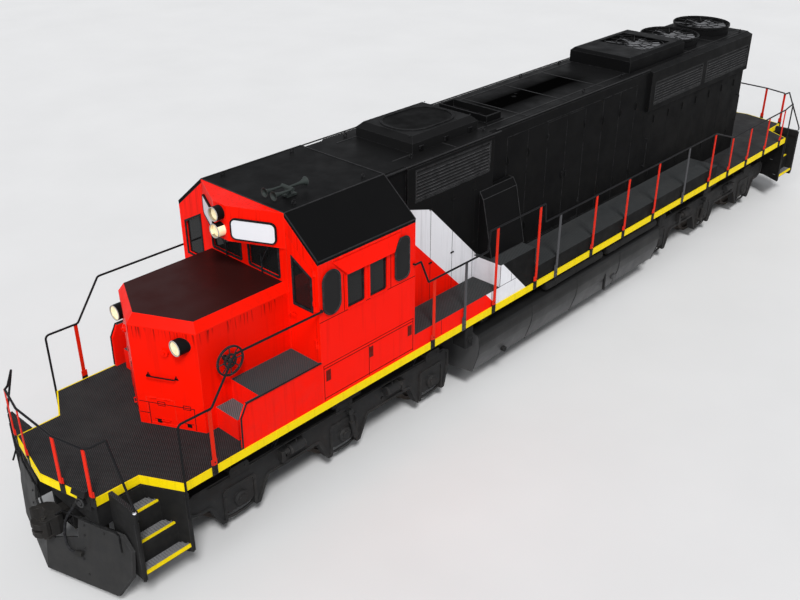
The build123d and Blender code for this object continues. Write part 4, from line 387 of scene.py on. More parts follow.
def soft(name, color, roughness, grain):
    """Rubber or leather: uneven colour with a fine grain."""
    paint = Paint(name, roughness=roughness)
    lighter = [channel * 2.2 + 0.008 for channel in color]
    paint.put("Base Color", paint.mix(paint.patches(18.0, 5, 0.4, 0.75), color, lighter))
    paint.bump(paint.noise(grain, 4), 0.3, 0.002)
    return paint.material


def wheel_steel():
    """Brown dusty wheels, greyer where the tread runs."""
    paint = Paint("wheel_steel")
    rust = paint.mix(paint.patches(5.0, 6, 0.35, 0.7), (0.035, 0.025, 0.020), DUST)
    tone = paint.mix(paint.times(paint.patches(14.0, 5, 0.4, 0.65), 0.6), rust, (0.06, 0.05, 0.045))
    paint.put("Base Color", worn_and_highlit(paint, tone, STEEL, 0.5))
    paint.bump(paint.noise(40.0, 4), 0.2, 0.004)
    return paint.material


def stanchion_paint():
    """Red posts with dark feet; three on each side are grey all the way up."""
    paint = Paint("stanchion_red")
    grey = paint.fold("MAXIMUM", [paint.within("X", station - 0.05, station + 0.05) for station in GREY_POSTS])
    red = paint.mix(paint.along("Z", 1.700, 1.705, 1, 0), (0.66, 0.018, 0.004), UNDER_GREY)
    tone = weathered(paint, paint.mix(grey, red, (0.07, 0.07, 0.075)), 0.2, 0.3)
    return finish(paint, worn_and_highlit(paint, tone, EDGE_HIGHLIGHT_GREY, 0.6), 0.45)


def roof_hatch_paint():
    """Black hatch with a sooted middle."""
    paint = Paint("hatch_black", gloss=0.02)
    tone = worn_and_highlit(paint, weathered(paint, (0.009, 0.009, 0.0093), 0.1, 0.2), EDGE_HIGHLIGHT_GREY, 0.7)
    across = paint.math("POWER", paint.times(paint.axis("Y"), 1.9), 2.0)
    lengthwise = paint.math("POWER", paint.times(paint.math("SUBTRACT", paint.axis("X"), HATCH_X), 1.35), 2.0)
    soot = paint.span(paint.math("ADD", across, lengthwise), 0.55, 1.1, 1, 0)
    return finish(paint, paint.mix(soot, tone, SOOT), 0.5)


def tank_paint():
    """Grey tank with painted shading: blacker towards the top of its sides, as a round form in shade, and an even
    paler grey on its ends, as if lit.
    """
    paint = Paint("tank_grey", gloss=0.2)
    # painted shade: the sides darken towards their top
    flank_shading = paint.mix(paint.along("Z", 0.55, 1.05, 1, 0), (0.006, 0.006, 0.0062), (0.070, 0.070, 0.072))
    # painted light: the ends are a paler, even grey
    end = paint.span(paint.math("ABSOLUTE", paint.facing("X")), 0.8, 0.9)
    tone = weathered(paint, paint.mix(end, flank_shading, (0.055, 0.055, 0.056)), 0.12, 0.15, 0.2, 1.2)
    return finish(paint, worn_and_highlit(paint, tone, EDGE_HIGHLIGHT_GREY, 0.8), 0.48)


def fan_cover_paint():
    """Black shrouds, motors and guards."""
    paint = Paint("fan_cover")
    return finish(paint, worn_and_highlit(paint, BLACK, EDGE_HIGHLIGHT_GREY, 0.5), 0.5)


paints = {}


def make_paints():
    paints.update(
        red=painted_metal("red_paint", RED, 0.38, 0.10, 0.2, 0.4, DARK_RED),
        dark_red=painted_metal("latch_red", DARK_RED, 0.5, 0.2, 0.2),
        black=painted_metal("black_paint", BLACK, 0.44, 0.10, 0.15, 0.9, gloss=0.02),
        rail=painted_metal("rail_black", (0.010, 0.010, 0.011), 0.40, 0.1, 0.1, 0.3),
        under=painted_metal("under_paint", UNDER_GREY, 0.60, 0.3, 0.3, 0.8),
        plow=painted_metal("plow_grey", (0.024, 0.024, 0.0245), 0.5, 0.3, 0.25, 0.9, RUBBED_AND_HIGHLIT_GREY),
        yellow=painted_metal("yellow_paint", YELLOW, 0.42, 0.18, 0.25, 0.25, DUST),
        board=painted_metal("board_white", (0.66, 0.66, 0.69), 0.4, 0.05, 0.08, 0.1),
        white=painted_metal("line_white", WHITE, 0.4, 0.2, 0.2),
        fan=painted_metal("fan_silver", FAN_GREY, 0.42, 0.1, 0.25, 0.15, BLACK),
        machine=painted_metal("machine_green", MACHINE_GREEN, 0.5, 0.3, 0.3),
        # grey of the roof strips, and of the painted highlights along roof and duct edges
        line=painted_metal("grey_lines_and_highlights", (0.019, 0.019, 0.0195), 0.5, 0.2, 0.2, 0.7),
        steel=painted_metal("bare_steel", STEEL, 0.35, 0.2, 0.1, 0.2),
        tread=tread_plate("tread_grey", (0.17, 0.17, 0.175), pattern=(0.42, 0.42, 0.43)),
        iron=cast_metal("cast_iron", (0.020, 0.020, 0.0205)),
        rusty=cast_metal("rusty_iron", (0.018, 0.0175, 0.017), 0.25),
        grille=painted_metal("grille_black", (0.016, 0.016, 0.0165), 0.5, 0.2, 0.2, 1.0, RUBBED_AND_HIGHLIT_GREY),
        horn=painted_metal("horn_grey", (0.030, 0.036, 0.034), 0.45, 0.2, 0.1, 0.8),
        joint=painted_metal("joint_red", (0.055, 0.002, 0.001), 0.7, 0.1, 0.1, 0.0),
        seam=painted_metal("seam_black", (0.004, 0.004, 0.004), 0.7, 0.05, 0.05, 0.0, gloss=0.1),
        pane=glass("door_glass"),
        rubber=soft("rubber", RUBBER, 0.65, 120.0),
        leather=soft("seat_leather", (0.022, 0.022, 0.025), 0.5, 160.0),
    )


DRESSED = {
    "under": "air_reservoirs control_stand",
    "plow": "plow rear_pilot",
    "yellow": "deck_edge",
    "red": "sunshades cab_door_front cab_door_rear",
    "black": "cab_roof fan_box blower_duct exhaust_stack",
    "grille": "hood_grilles wind_deflectors brake_wheel",
    "horn": "horn",
    "rail": "handrails",
    "rusty": "coupler_front coupler_rear hose_coupling",
    "iron": "truck_frame_front truck_frame_rear truck_gear_front truck_gear_rear",
    "board": "number_boards",
    "fan": "fan_1 fan_2 fan_3",
    "machine": "engine_block",
    "leather": "crew_seats",
    "rubber": "brake_hose",
}


def dress(material, names):
    for name in names.split():
        mesh = nodes[name].data
        mesh.materials.clear()
        mesh.materials.append(material)


def dress_frame():
    for paint, names in DRESSED.items():
        dress(paints[paint], names)
    dress(tank_paint(), "fuel_tank")
    dress(tread_plate("underframe_plate", UNDER_GREY), "underframe")
    dress(tread_plate("landing_plate", (0.030, 0.036, 0.037), RED), "battery_boxes")
    dress(tread_plate("step_plate", UNDER_GREY), "step_wells cab_floor")
    dress(tread_plate("walk_plate", DECK_GREY, "bands"), "raised_walkways")
    dress(cab_paint(), "cab_walls")
    dress(nose_paint(), "nose_shell")
    dress(stanchion_paint(), "stanchions")
    dress(roof_hatch_paint(), "filter_hatch")
    dress(hood_paint(), "hood_intake hood_engine hood_radiator hood_door_left_front hood_door_left_rear "
                        "hood_door_right_front hood_door_right_rear")
    dress(wheel_steel(), "wheelset_1 wheelset_2 wheelset_3 wheelset_4 wheelset_5 wheelset_6")
    dress(glass("window_glass"), "cab_glass")
    dress(fan_cover_paint(), "fan_shrouds")
    low_lamps, high_lamps = 4.04 + RAIL, 4.29 + RAIL
    dress(lamp_paint("nose_lamp_paint", [(0.70, 3.01 + RAIL), (-0.70, 3.01 + RAIL)], 0.1003), "nose_lamps")
    dress(lamp_paint("headlight_paint", [(0, low_lamps), (0, high_lamps), (0.126, low_lamps), (-0.126, low_lamps)],
                     0.0923), "headlights")


# Detail pieces

def circle(count):
    """Cosines and sines of evenly spaced angles."""
    angles = [2 * math.pi * step / count for step in range(count)]
    return [(math.cos(angle), math.sin(angle)) for angle in angles]


def turned(centre, axis):
    """Matrix that turns Z to an axis and moves to a centre."""
    return Matrix.Translation(centre) @ Vector(axis).to_track_quat("Z", "Y").to_matrix().to_4x4()


class Shapes:
    """Small forms, at heights above the rail head, gathered into one mesh that becomes one piece on one body."""

    def __init__(self):
        self.mesh = bmesh.new()

    def box(self, corner, opposite, chamfer=0.0):
        """Box between two corners, its edges cut by a chamfer."""
        size = [abs(b - a) for a, b in zip(corner, opposite)]
        middle = [(a + b) / 2 for a, b in zip(corner, opposite)]
        matrix = Matrix.Translation(middle) @ Matrix.Diagonal((*size, 1))
        verts = bmesh.ops.create_cube(self.mesh, size=1.0, matrix=matrix)["verts"]
        if chamfer:
            edges = {edge for vert in verts for edge in vert.link_edges}
            bmesh.ops.bevel(self.mesh, geom=list(edges), offset=chamfer, segments=1, affect="EDGES")

    def seam(self, start, end, wall, half=0.004, lift=0.0015):
        """Level or upright line on a wall that faces sideways, between two (along, up) points."""
        wide, tall = (half, 0) if start[0] == end[0] else (0, half)
        self.box((start[0] - wide, wall - 0.002, start[1] - tall), (end[0] + wide, wall + lift, end[1] + tall))

    def rod(self, start, end, radius, sides=12, end_radius=None):
        """Round bar or cone between two points."""
        start, end = Vector(start), Vector(end)
        bmesh.ops.create_cone(self.mesh, cap_ends=True, segments=sides, radius1=radius,
                              radius2=radius if end_radius is None else end_radius, depth=(end - start).length,
                              matrix=turned((start + end) / 2, end - start))

    def bolts(self, places, facing, radius=0.012, height=0.010):
        """Hexagonal heads at several points, standing along one direction."""
        direction = Vector(facing).normalized()
        for place in places:
            self.rod(place, Vector(place) + direction * height, radius, 6, radius * 0.9)

    def ball(self, centre, radius):
        bmesh.ops.create_uvsphere(self.mesh, u_segments=14, v_segments=8, radius=radius,
                                  matrix=Matrix.Translation(centre))

    def shell(self, loops, closed=False):
        """Faces from each loop of points to the next; the last joins the first, or both ends get caps."""
        loops = [[self.mesh.verts.new(point) for point in loop] for loop in loops]
        if closed:
            loops.append(loops[0])
        else:
            self.mesh.faces.new(list(reversed(loops[0])))
            self.mesh.faces.new(loops[-1])
        for first, second in zip(loops, loops[1:]):
            for index, vert in enumerate(first):
                after = (index + 1) % len(first)
                self.mesh.faces.new((vert, first[after], second[after], second[index]))

    def tube(self, points, radius, sides=8):
        """Round bar swept along points, with mitred corners."""
        points = [Vector(point) for point in points]
        loops, side = [], None
        for index, point in enumerate(points):
            before = point - points[max(index - 1, 0)]
            after = points[min(index + 1, len(points) - 1)] - point
            along = (before.normalized() + after.normalized()).normalized()
            side = (along.orthogonal() if side is None else side - along * side.dot(along)).normalized()
            other = along.cross(side)
            loops.append([point + (side * cos + other * sin) * radius for cos, sin in circle(sides)])
        self.shell(loops)

    def ring(self, centre, axis, radius, thickness, sides=32, arc_sides=8):
        """Torus round an axis."""
        turn = turned(centre, axis)
        section = [(radius + thickness * out, thickness * rise) for out, rise in circle(arc_sides)]
        self.shell([[turn @ Vector((reach * cos, reach * sin, rise)) for reach, rise in section]
                    for cos, sin in circle(sides)], closed=True)

    def plate(self, outline, depth):
        """Flat plate through an outline of points, thickened by a vector."""
        self.shell([[Vector(point) + Vector(depth) for point in outline], outline])

    def frame(self, outlines, depth):
        """Flat frame between an outer and an inner outline of as many points, thickened by a vector."""
        outer, inner = outlines
        far = [[Vector(point) + Vector(depth) for point in outline] for outline in (inner, outer)]
        self.shell([outer, inner, *far], closed=True)

    def mirrored(self):
        """Add the mirror image of everything so far, across the centreline."""
        forms = [*self.mesh.verts, *self.mesh.edges, *self.mesh.faces]
        copied = bmesh.ops.duplicate(self.mesh, geom=forms)["geom"]
        for item in copied:
            if isinstance(item, bmesh.types.BMVert):
                item.co.y = -item.co.y
        bmesh.ops.reverse_faces(self.mesh, faces=[item for item in copied if isinstance(item, bmesh.types.BMFace)])

    def piece(self, name, paint, body="locomotive"):
        """Turn the forms into an object that rides on a body."""
        bmesh.ops.translate(self.mesh, verts=list(self.mesh.verts), vec=(0, 0, RAIL))
        bmesh.ops.recalc_face_normals(self.mesh, faces=list(self.mesh.faces))
        for face in self.mesh.faces:
            face.smooth = True
        data = bpy.data.meshes.new(name)
        self.mesh.to_mesh(data)
        self.mesh.free()
        data.materials.append(paints[paint])
        data.set_sharp_from_angle(angle=math.radians(35))
        item = add_object(name, data)
        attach(item, body)
        return item

    def pair(self, name, paint, body="locomotive"):
        """The same, with the mirror image."""
        self.mirrored()
        return self.piece(name, paint, body)


def rounded_box(width, height, corner, steps=5):
    """Outline of a rectangle with round corners, centred on 0."""
    points = []
    for index, (sx, sy) in enumerate(((1, 1), (-1, 1), (-1, -1), (1, -1))):
        for step in range(steps + 1):
            angle = math.pi / 2 * (index + step / steps)
            points.append((sx * (width / 2 - corner) + corner * math.cos(angle),
                           sy * (height / 2 - corner) + corner * math.sin(angle)))
    return points


def rectangle(width, height):
    """Corners of a rectangle centred on 0."""
    return [(x * width / 2, y * height / 2) for x, y in ((-1, -1), (1, -1), (1, 1), (-1, 1))]


def on_side(points, x, y, z):
    """(along, up) points placed on a wall that faces sideways."""
    return [(x + along, y, z + rise) for along, rise in points]


def on_end(points, x, y=0.0, z=0.0, side=1):
    """(across, up) points placed on a wall that faces along the body."""
    return [(x, y + side * across, z + rise) for across, rise in points]


def on_top(points, x, z):
    """(along, across) points placed on a level surface."""
    return [(x + along, across, z) for along, across in points]


def side_windows(name, paint, y, depth, *outlines):
    """Frames round the side windows, each outline (growth, corner radius)."""
    shapes = Shapes()
    for low, high in SIDE_WINDOWS:
        centre = ((low + high) / 2, y, (WINDOW_LOW + WINDOW_HIGH) / 2)
        shapes.frame([on_side(rounded_box(high - low + growth, WINDOW_HIGH - WINDOW_LOW + growth, corner), *centre)
                      for growth, corner in outlines], (0, depth, 0))
    shapes.pair(name, paint)


def cab_details():
    side_windows("side_window_frames", "red", CAB_WALL_Y - 0.004, 0.016, (0.05, 0.055), (-0.012, 0.030))
    side_windows("side_window_sashes", "rubber", CAB_WALL_Y - 0.026, 0.010, (0, 0.03), (-0.05, 0.02))

    # dark joints of the side panels
    lines = Shapes()
    for start, end in (((CAB_REAR, 2.957), (CAB_FRONT, 2.957)), ((CAB_REAR + 0.03, 2.235), (CAB_FRONT - 0.03, 2.235)),
                       ((CAB_REAR + 0.04, 2.187), (CAB_FRONT - 0.04, 2.187)),
                       ((CAB_REAR + 0.04, 1.690), (CAB_FRONT - 0.04, 1.690)),
                       ((CAB_REAR + 0.04, 1.66), (CAB_REAR + 0.04, 2.235)), ((5.65, 1.66), (5.65, 2.187)),
                       ((CAB_FRONT - 0.04, 1.66), (CAB_FRONT - 0.04, 2.235)),
                       ((5.175, 2.957), (5.175, 3.54)), ((6.122, 2.957), (6.122, 3.54))):
        lines.seam(start, end, CAB_WALL_Y, 0.005, 0.0012)
    lines.pair("cab_joints", "joint")

    front = Shapes()
    for side in (-1, 1):
        front.frame([on_end(rounded_box(*sizes), CAB_FRONT - 0.004, side * 0.42, 3.64)
                     for sizes in ((0.70, 0.54, 0.05), (0.628, 0.468, 0.03))], (0.014, 0, 0))
        # wiper: pivot under the brow, arm and blade
        pivot, tip = Vector((CAB_FRONT + 0.02, side * 0.62, 3.90)), Vector((CAB_FRONT + 0.035, side * 0.40, 3.52))
        front.rod((CAB_FRONT, side * 0.62, 3.90), pivot, 0.022)
        front.tube([pivot, (pivot + tip) / 2 + Vector((0.02, 0, 0)), tip], 0.007)
        front.box(tip - Vector((0.012, 0.008, 0.17)), tip + Vector((0.004, 0.008, 0.15)))
    front.piece("windshield_gaskets", "rubber")

    ends = Shapes()
    for _, wall, facing in CAB_ENDS:
        ends.frame([on_end(points, wall - facing * 0.004, side=-facing) for points in (
            [(0.998, 3.058), (1.432, 3.058), (1.432, 3.618), (0.998, 3.850)],
            [(1.03, 3.09), (1.40, 3.09), (1.40, 3.60), (1.03, 3.80)])], (facing * 0.014, 0, 0))
    ends.piece("end_window_gaskets", "rubber")
    for end, wall, facing in CAB_ENDS:
        door = Shapes()
        door.frame([on_end(points, wall - facing * 0.003, side=facing) for points in (
            [(1.010, 3.070), (1.420, 3.070), (1.420, 3.612), (1.010, 3.835)],
            [(1.045, 3.105), (1.385, 3.105), (1.385, 3.59), (1.045, 3.775)])], (facing * 0.012, 0, 0))
        door.piece(f"door_gasket_{end}", "rubber", f"cab_door_{end}")

    # recessed latches of the lower panels
    latches = Shapes()
    for x in (4.758, 5.61, 6.478):
        latches.frame([on_side(rectangle(*sizes), x, CAB_WALL_Y - 0.002, 2.055)
                       for sizes in ((0.090, 0.180), (0.072, 0.162))], (0, 0.006, 0))
        latches.box((x - 0.034, CAB_WALL_Y - 0.002, 1.976), (x + 0.034, CAB_WALL_Y + 0.0015, 2.134))
        latches.box((x - 0.012, CAB_WALL_Y - 0.002, 1.985), (x + 0.012, CAB_WALL_Y + 0.012, 2.06), 0.003)
    latches.pair("cab_panel_latches", "dark_red")

    rims = Shapes()
    rims.tube(on_side([(CAB_FRONT + 0.01, 2.318), (7.96, 2.318), (8.066, 2.13), (8.074, 1.65)], 0, 1.545, 0), 0.012)
    rims.pair("landing_rims", "rail")


def roof_details():
    # pale lines along the cab roof's crown, eaves and ends: painted highlights on its edges
    lines = Shapes()
    end_lines = (CAB_REAR + 0.006, CAB_FRONT - 0.006)
    lines.box((CAB_REAR, CROWN_Y - 0.008, CROWN_Z - 0.004), (CAB_FRONT, CROWN_Y + 0.008, CROWN_Z + 0.007))
    lines.box((CAB_REAR, CAB_WALL_Y - 0.008, EAVE_Z - 0.016), (CAB_FRONT, CAB_WALL_Y + 0.007, EAVE_Z + 0.002))
    for x in end_lines:
        lines.plate([(x - 0.008, CROWN_Y, CROWN_Z - 0.004), (x + 0.008, CROWN_Y, CROWN_Z - 0.004),
                     (x + 0.008, CAB_WALL_Y, EAVE_Z - 0.004), (x - 0.008, CAB_WALL_Y, EAVE_Z - 0.004)],
                    (0, 0.0054, 0.0066))
    # the same painted highlights where the hood's sides meet its roof
    for rear, front, half in ((INTAKE_REAR, CAB_REAR, INTAKE_WALL_Y), (ENGINE_REAR, INTAKE_REAR, HOOD_WALL_Y)):
        lines.box((rear, half - 0.012, HOOD_ROOF_Z - 0.014), (front, half + 0.004, HOOD_ROOF_Z + 0.004))
    lines.mirrored()
    for x in end_lines:
        lines.box((x - 0.008, -CROWN_Y, CROWN_Z - 0.004), (x + 0.008, CROWN_Y, CROWN_Z + 0.007))
    lines.piece("roof_edge_highlights", "line")

    eyes = Shapes()
    for y, z, stations in ((0.78, CROWN_Z + 0.03, (4.95, 6.30)), (0.72, 4.43, (3.85, 2.05, -0.9, -2.2, -7.25))):
        for x in stations:
            eyes.ring((x, y, z), ACROSS, 0.032, 0.009, 16, 6)
    eyes.pair("lifting_eyes", "black")

    hatch = Shapes()
    hatch.bolts([(x, 0.50, 4.648) for x in (2.16, 2.50, 2.90, 3.30, 3.64)], UPWARD, 0.014, 0.008)
    hatch.bolts([(x, 0.62, 4.689) for x in (-2.70, -3.10, -4.50)], UPWARD, 0.014, 0.008)
    for x in (2.30, 2.90, 3.50):
        hatch.box((x - 0.05, 0.61, 4.42), (x + 0.05, 0.64, 4.50), 0.006)
    hatch.mirrored()
    # raised oval cover on the filter hatch
    oval = rounded_box(1.30, 0.92, 0.40, 8)
    hatch.frame([on_top(points, HATCH_X, 4.649) for points in (oval, [(x * 0.94, y * 0.92) for x, y in oval])],
                (0, 0, 0.012))
    hatch.piece("roof_hatch_fittings", "black")

    strips = Shapes()
    for x in (2.99, 0.95, -0.25, -1.45, -4.90, -6.04, -7.30):
        half = 0.90 if x > INTAKE_REAR else 0.80
        strips.box((x - 0.009, -half, HOOD_ROOF_Z - 0.002), (x + 0.009, half, HOOD_ROOF_Z + 0.006))
    for side in (-1, 1):
        for rear, front, half in ((1.90, 4.15, 0.60), (-2.50, 1.85, 0.62), (HOOD_REAR, -4.72, 0.70)):
            strips.box((rear, side * half, HOOD_ROOF_Z - 0.002), (front, side * (half + 0.018), HOOD_ROOF_Z + 0.006))
    strips.piece("roof_strips", "line")

    # stack lining and flange bolts
    stack = Shapes()
    stack.frame([on_top(rectangle(*sizes), 1.545, 4.404) for sizes in ((0.46, 1.13), (0.38, 1.05))], (0, 0, 0.012))
    stack.bolts([(x, y, 4.416) for x in (1.755, 1.335) for y in (-0.5, -0.25, 0, 0.25, 0.5)], UPWARD)
    stack.piece("stack_flange", "black")


def hood_details():
    seams = Shapes()
    for stations, low, high, wall in ((INTAKE_DOORS, 1.93, 3.73, INTAKE_WALL_Y),
                                      (RADIATOR_DOORS, 1.66, 3.47, HOOD_WALL_Y),
                                      ([ENGINE_REAR], 1.93, 4.35, HOOD_WALL_Y),
                                      ((1.50, 1.83, 2.16, 2.48), 1.93, 2.32, CAB_WALL_Y),
                                      ([4.0 - 1.3 * index for index in range(8)], 1.66, 1.915, CAB_WALL_Y)):
        for x in stations:
            seams.seam((x, low), (x, high), wall)
    seams.seam((HOOD_REAR, 3.47), (-3.12, 3.47), HOOD_WALL_Y)
    seams.seam((1.50, 1.93), (2.48, 1.93), CAB_WALL_Y)
    seams.pair("panel_seams", "seam")

    latches = Shapes()
    engine = [(x, z) for x in (-2.65, -2.05, -1.45, 0.95, 1.55) for z in (2.35, 3.75)]
    for x, z in engine + [(x, z) for x in RADIATOR_DOORS for z in (2.10, 3.30)]:
        latches.box((x - 0.05, HOOD_WALL_Y - 0.002, z - 0.075), (x - 0.022, HOOD_WALL_Y + 0.018, z + 0.075), 0.004)
    for x, z in engine:
        latches.box((x - 0.042, HOOD_WALL_Y + 0.016, z - 0.045), (x - 0.030, HOOD_WALL_Y + 0.034, z + 0.045), 0.003)
    for x in INTAKE_DOORS:
        for z in (2.60, 3.55):
            latches.box((x - 0.04, INTAKE_WALL_Y - 0.002, z - 0.012), (x + 0.04, INTAKE_WALL_Y + 0.014, z + 0.012),
                        0.004)
    latches.pair("hood_latches", "seam")

    # pale tubes along the blower duct's edges: painted highlights
    duct = Shapes()
    bends = [(0.95, 3.470), (1.03, 3.345), (1.26, 2.335)]
    for x in (1.468, 2.382):
        duct.tube(on_end([(0.87, 3.470)] + bends, x), 0.008, 6)
    for y, z in bends:
        duct.tube([(1.468, y, z), (2.382, y, z)], 0.007, 6)
    duct.pair("duct_edge_highlights", "line")

    bolts = Shapes()
    for rear, front, low, high, y in ((2.13, 3.99, 3.76, 4.30, 0.945), (-5.275, -3.255, 3.65, 4.13, 0.915),
                                      (-7.44, -5.43, 3.65, 4.13, 0.915)):
        stations = [rear + 0.016 + (front - rear - 0.032) * index / 8 for index in range(9)]
        bolts.bolts([(x, y, z) for x in stations for z in (low + 0.015, high - 0.015)], ACROSS, 0.008, 0.006)
    # grab irons: upright on the hood's sides, level across its rear
    for x in (-7.38, -3.22):
        bolts.tube(on_end([(-0.002, 2.35), (0.055, 2.35), (0.055, 2.95), (-0.002, 2.95)], x, HOOD_WALL_Y), 0.010)
    bolts.mirrored()
    for z in (2.0, 2.4, 2.8, 3.2, 3.6):
        bolts.tube([(-7.495, -0.30, z), (-7.56, -0.30, z), (-7.56, -0.70, z), (-7.495, -0.70, z)], 0.012)
    bolts.piece("hood_bolts_and_grabs", "black")

    rear = Shapes()
    rear.frame([on_end(rectangle(*sizes), -7.503, 0.20, 2.6) for sizes in ((0.70, 1.40), (0.68, 1.38))],
               (-0.006, 0, 0))
    for z in (2.2, 3.0):
        rear.box((-7.53, 0.52, z - 0.05), (-7.50, 0.58, z + 0.05), 0.004)
    rear.box((-7.54, -0.10, 2.55), (-7.50, -0.06, 2.70), 0.004)
    rear.piece("rear_door_trim", "black")


def step_x(y):
    """Slanted inner wall of a stepwell."""
    return 9.35 - 0.5263 * (y - 0.99)


def step_details():
    treads, nosings, balls, flanges = Shapes(), Shapes(), Shapes(), Shapes()
    for end in (1, -1):
        for index, height in enumerate((0.620, 0.953, 1.283)):
            outer = 1.56 - 0.18 * index
            inner = outer - 0.165
            outline = [(step_x(inner) + 0.012, inner), (step_x(outer) + 0.012, outer), (9.775, outer), (9.775, inner)]
            treads.plate([(end * x, y, height + 0.001) for x, y in outline], (0, 0, 0.005))
            first = step_x(outer) + 0.03
            for bar in range(int((9.76 - first) / 0.04)):
                x = end * (first + bar * 0.04)
                treads.box((x - 0.004, inner + 0.012, height + 0.004), (x + 0.004, outer - 0.035, height + 0.014))
            nosings.box((end * (step_x(outer) + 0.006), outer - 0.030, height - 0.030),
                        (end * 9.79, outer + 0.005, height + 0.012), 0.003)
        balls.ball((end * 9.80, 1.562, 1.63), 0.024)
        for x in (9.80, 9.045):
            flanges.box((end * (x - 0.035), 1.552, 0.50), (end * (x + 0.030), 1.568, 1.46), 0.004)
    treads.pair("step_gratings", "tread")
    nosings.pair("step_nosings", "yellow")
    balls.pair("corner_balls", "white")
    flanges.pair("step_flanges", "under")


def end_details():
    """Uncoupling levers, plow and end sheet bolts, and the jumper receptacle."""
    bars = Shapes()
    for end, bends in ((1, ((0.16, 0.16, 1.02), (0.12, 0.30, 1.15), (-0.02, 0.95, 1.20), (-0.10, 1.18, 1.20),
                            (-0.10, 1.30, 1.18), (-0.06, 1.38, 0.98))),
                       (-1, ((0.16, 0.16, 1.02), (0.06, 0.30, 1.15), (0.02, 1.20, 1.17), (0, 1.32, 0.98)))):
        bars.tube([(end * (10.02 + out), y, z) for out, y, z in bends], 0.014)
    bars.pair("uncoupling_levers", "black")

    bolts = Shapes()
    places = ((0.66, 0.90), (0.66, 1.05), (0.98, 1.05), (1.24, 1.05), (0.66, 0.70), (0.72, 0.30), (0.64, 0.52))
    bolts.bolts([(10.36 - 0.277 * y - 0.14 * (z - 0.11), y, z) for y, z in places], (1, 0.277, 0.14), 0.017, 0.012)
    bolts.pair("plow_bolts", "under")

    edge = Shapes()
    edge.bolts([(10.21 - 0.2154 * y, y, z) for y in (0.20, 0.50, 0.95) for z in (1.53, 1.60)], (1, 0.215, 0),
               0.010, 0.008)
    edge.pair("end_bolts", "yellow")

    # face of the jumper receptacle
    socket = Shapes()
    out, centre = Vector((1, 0.2154, 0)).normalized(), Vector((10.112, 0.8055, 1.55))
    socket.ring(centre, out, 0.062, 0.009, 20, 6)
    socket.rod(centre - out * 0.004, centre + out * 0.010, 0.030, 12)
    socket.piece("receptacle_rim", "plow")


def nose_details():
    """Sand fillers, dark joint lines and grab iron feet on the slanted faces, and the lamps' rings."""
    across = Vector((-NOSE_OUT[1], NOSE_OUT[0], 0)).normalized()
    out = Vector((*NOSE_OUT, 0)).normalized()

    def on_nose(along, height, lift=0.0):
        return Vector((NOSE_APEX, 0, height)) + across * along + out * lift

    nose = Shapes()
    nose.rod(on_nose(0.52, 2.86), on_nose(0.52, 2.86, 0.035), 0.06, 20, 0.06 * 0.92)
    nose.rod(on_nose(0.52, 2.86, 0.03), on_nose(0.52, 2.86, 0.055), 0.018, 8)
    nose.tube([on_nose(0.35, 1.74), on_nose(0.35, 1.74, 0.03), on_nose(0.47, 1.74, 0.03), on_nose(0.47, 1.74)], 0.007)
    nose.pair("nose_sand_caps", "red")

    hatch = Shapes()

    def strip(start, end, wide):
        """Thin dark line on the nose between two (along, height) points."""
        a, b = on_nose(*start), on_nose(*end)
        side = (b - a).normalized().cross(out) * wide / 2
        hatch.plate([point - out * 0.002 for point in (a - side, b - side, b + side, a + side)], out * 0.0035)

    for start, end in (((0.01, 1.997), (0.863, 1.997)), ((0.165, 1.64), (0.165, 1.997)),
                       ((0.852, 1.64), (0.852, 1.997)), ((0.01, 1.815), (0.165, 1.815))):
        strip(start, end, 0.010)
    for along in (0.359, 0.746):
        corners = [(along + a, 2.0 + b) for a, b in rectangle(0.11, 0.06)]
        for start, end in zip(corners, corners[1:] + corners[:1]):
            strip(start, end, 0.009)
    for along in (0.30, 0.756):
        strip((along - 0.07, 1.735), (along + 0.07, 1.735), 0.008)
        strip((along, 1.675), (along, 1.735), 0.07)
    # feet of the grab irons
    for along in (0.222, 0.638):
        corners = ((along - 0.035, 2.435), (along + 0.035, 2.435), (along, 2.505))
        hatch.plate([on_nose(*corner, -0.002) for corner in corners], out * 0.008)
    hatch.pair("nose_hatch_joints", "seam")

    trim = Shapes()
    trim.ring((8.405, 0.70, 3.01), ALONG, 0.108, 0.008, 28, 6)
    trim.mirrored()
    for x, y, z in ((7.098, 0, 4.04), (7.098, 0, 4.29), (-7.623, 0.126, 4.04), (-7.623, -0.126, 4.04)):
        trim.ring((x, y, z), ALONG, 0.099, 0.008, 28, 6)
    trim.piece("lamp_rings", "steel")


def board_frames():
    """Dark frames round the blank number boards."""
    frames = Shapes()
    across = Vector((-0.374, 0.770, 0)).normalized()
    out = Vector((0.770, 0.374, 0)).normalized()
    middle = Vector((6.975, 0.139, 3.95 + 0.145)) + across * (0.0678 + 0.328)
    frames.frame([[middle + across * a + Vector((0, 0, b)) for a, b in rounded_box(*sizes)]
                  for sizes in ((0.690, 0.324, 0.085), (0.646, 0.280, 0.064))], out * 0.030)
    frames.pair("number_board_frames", "black")


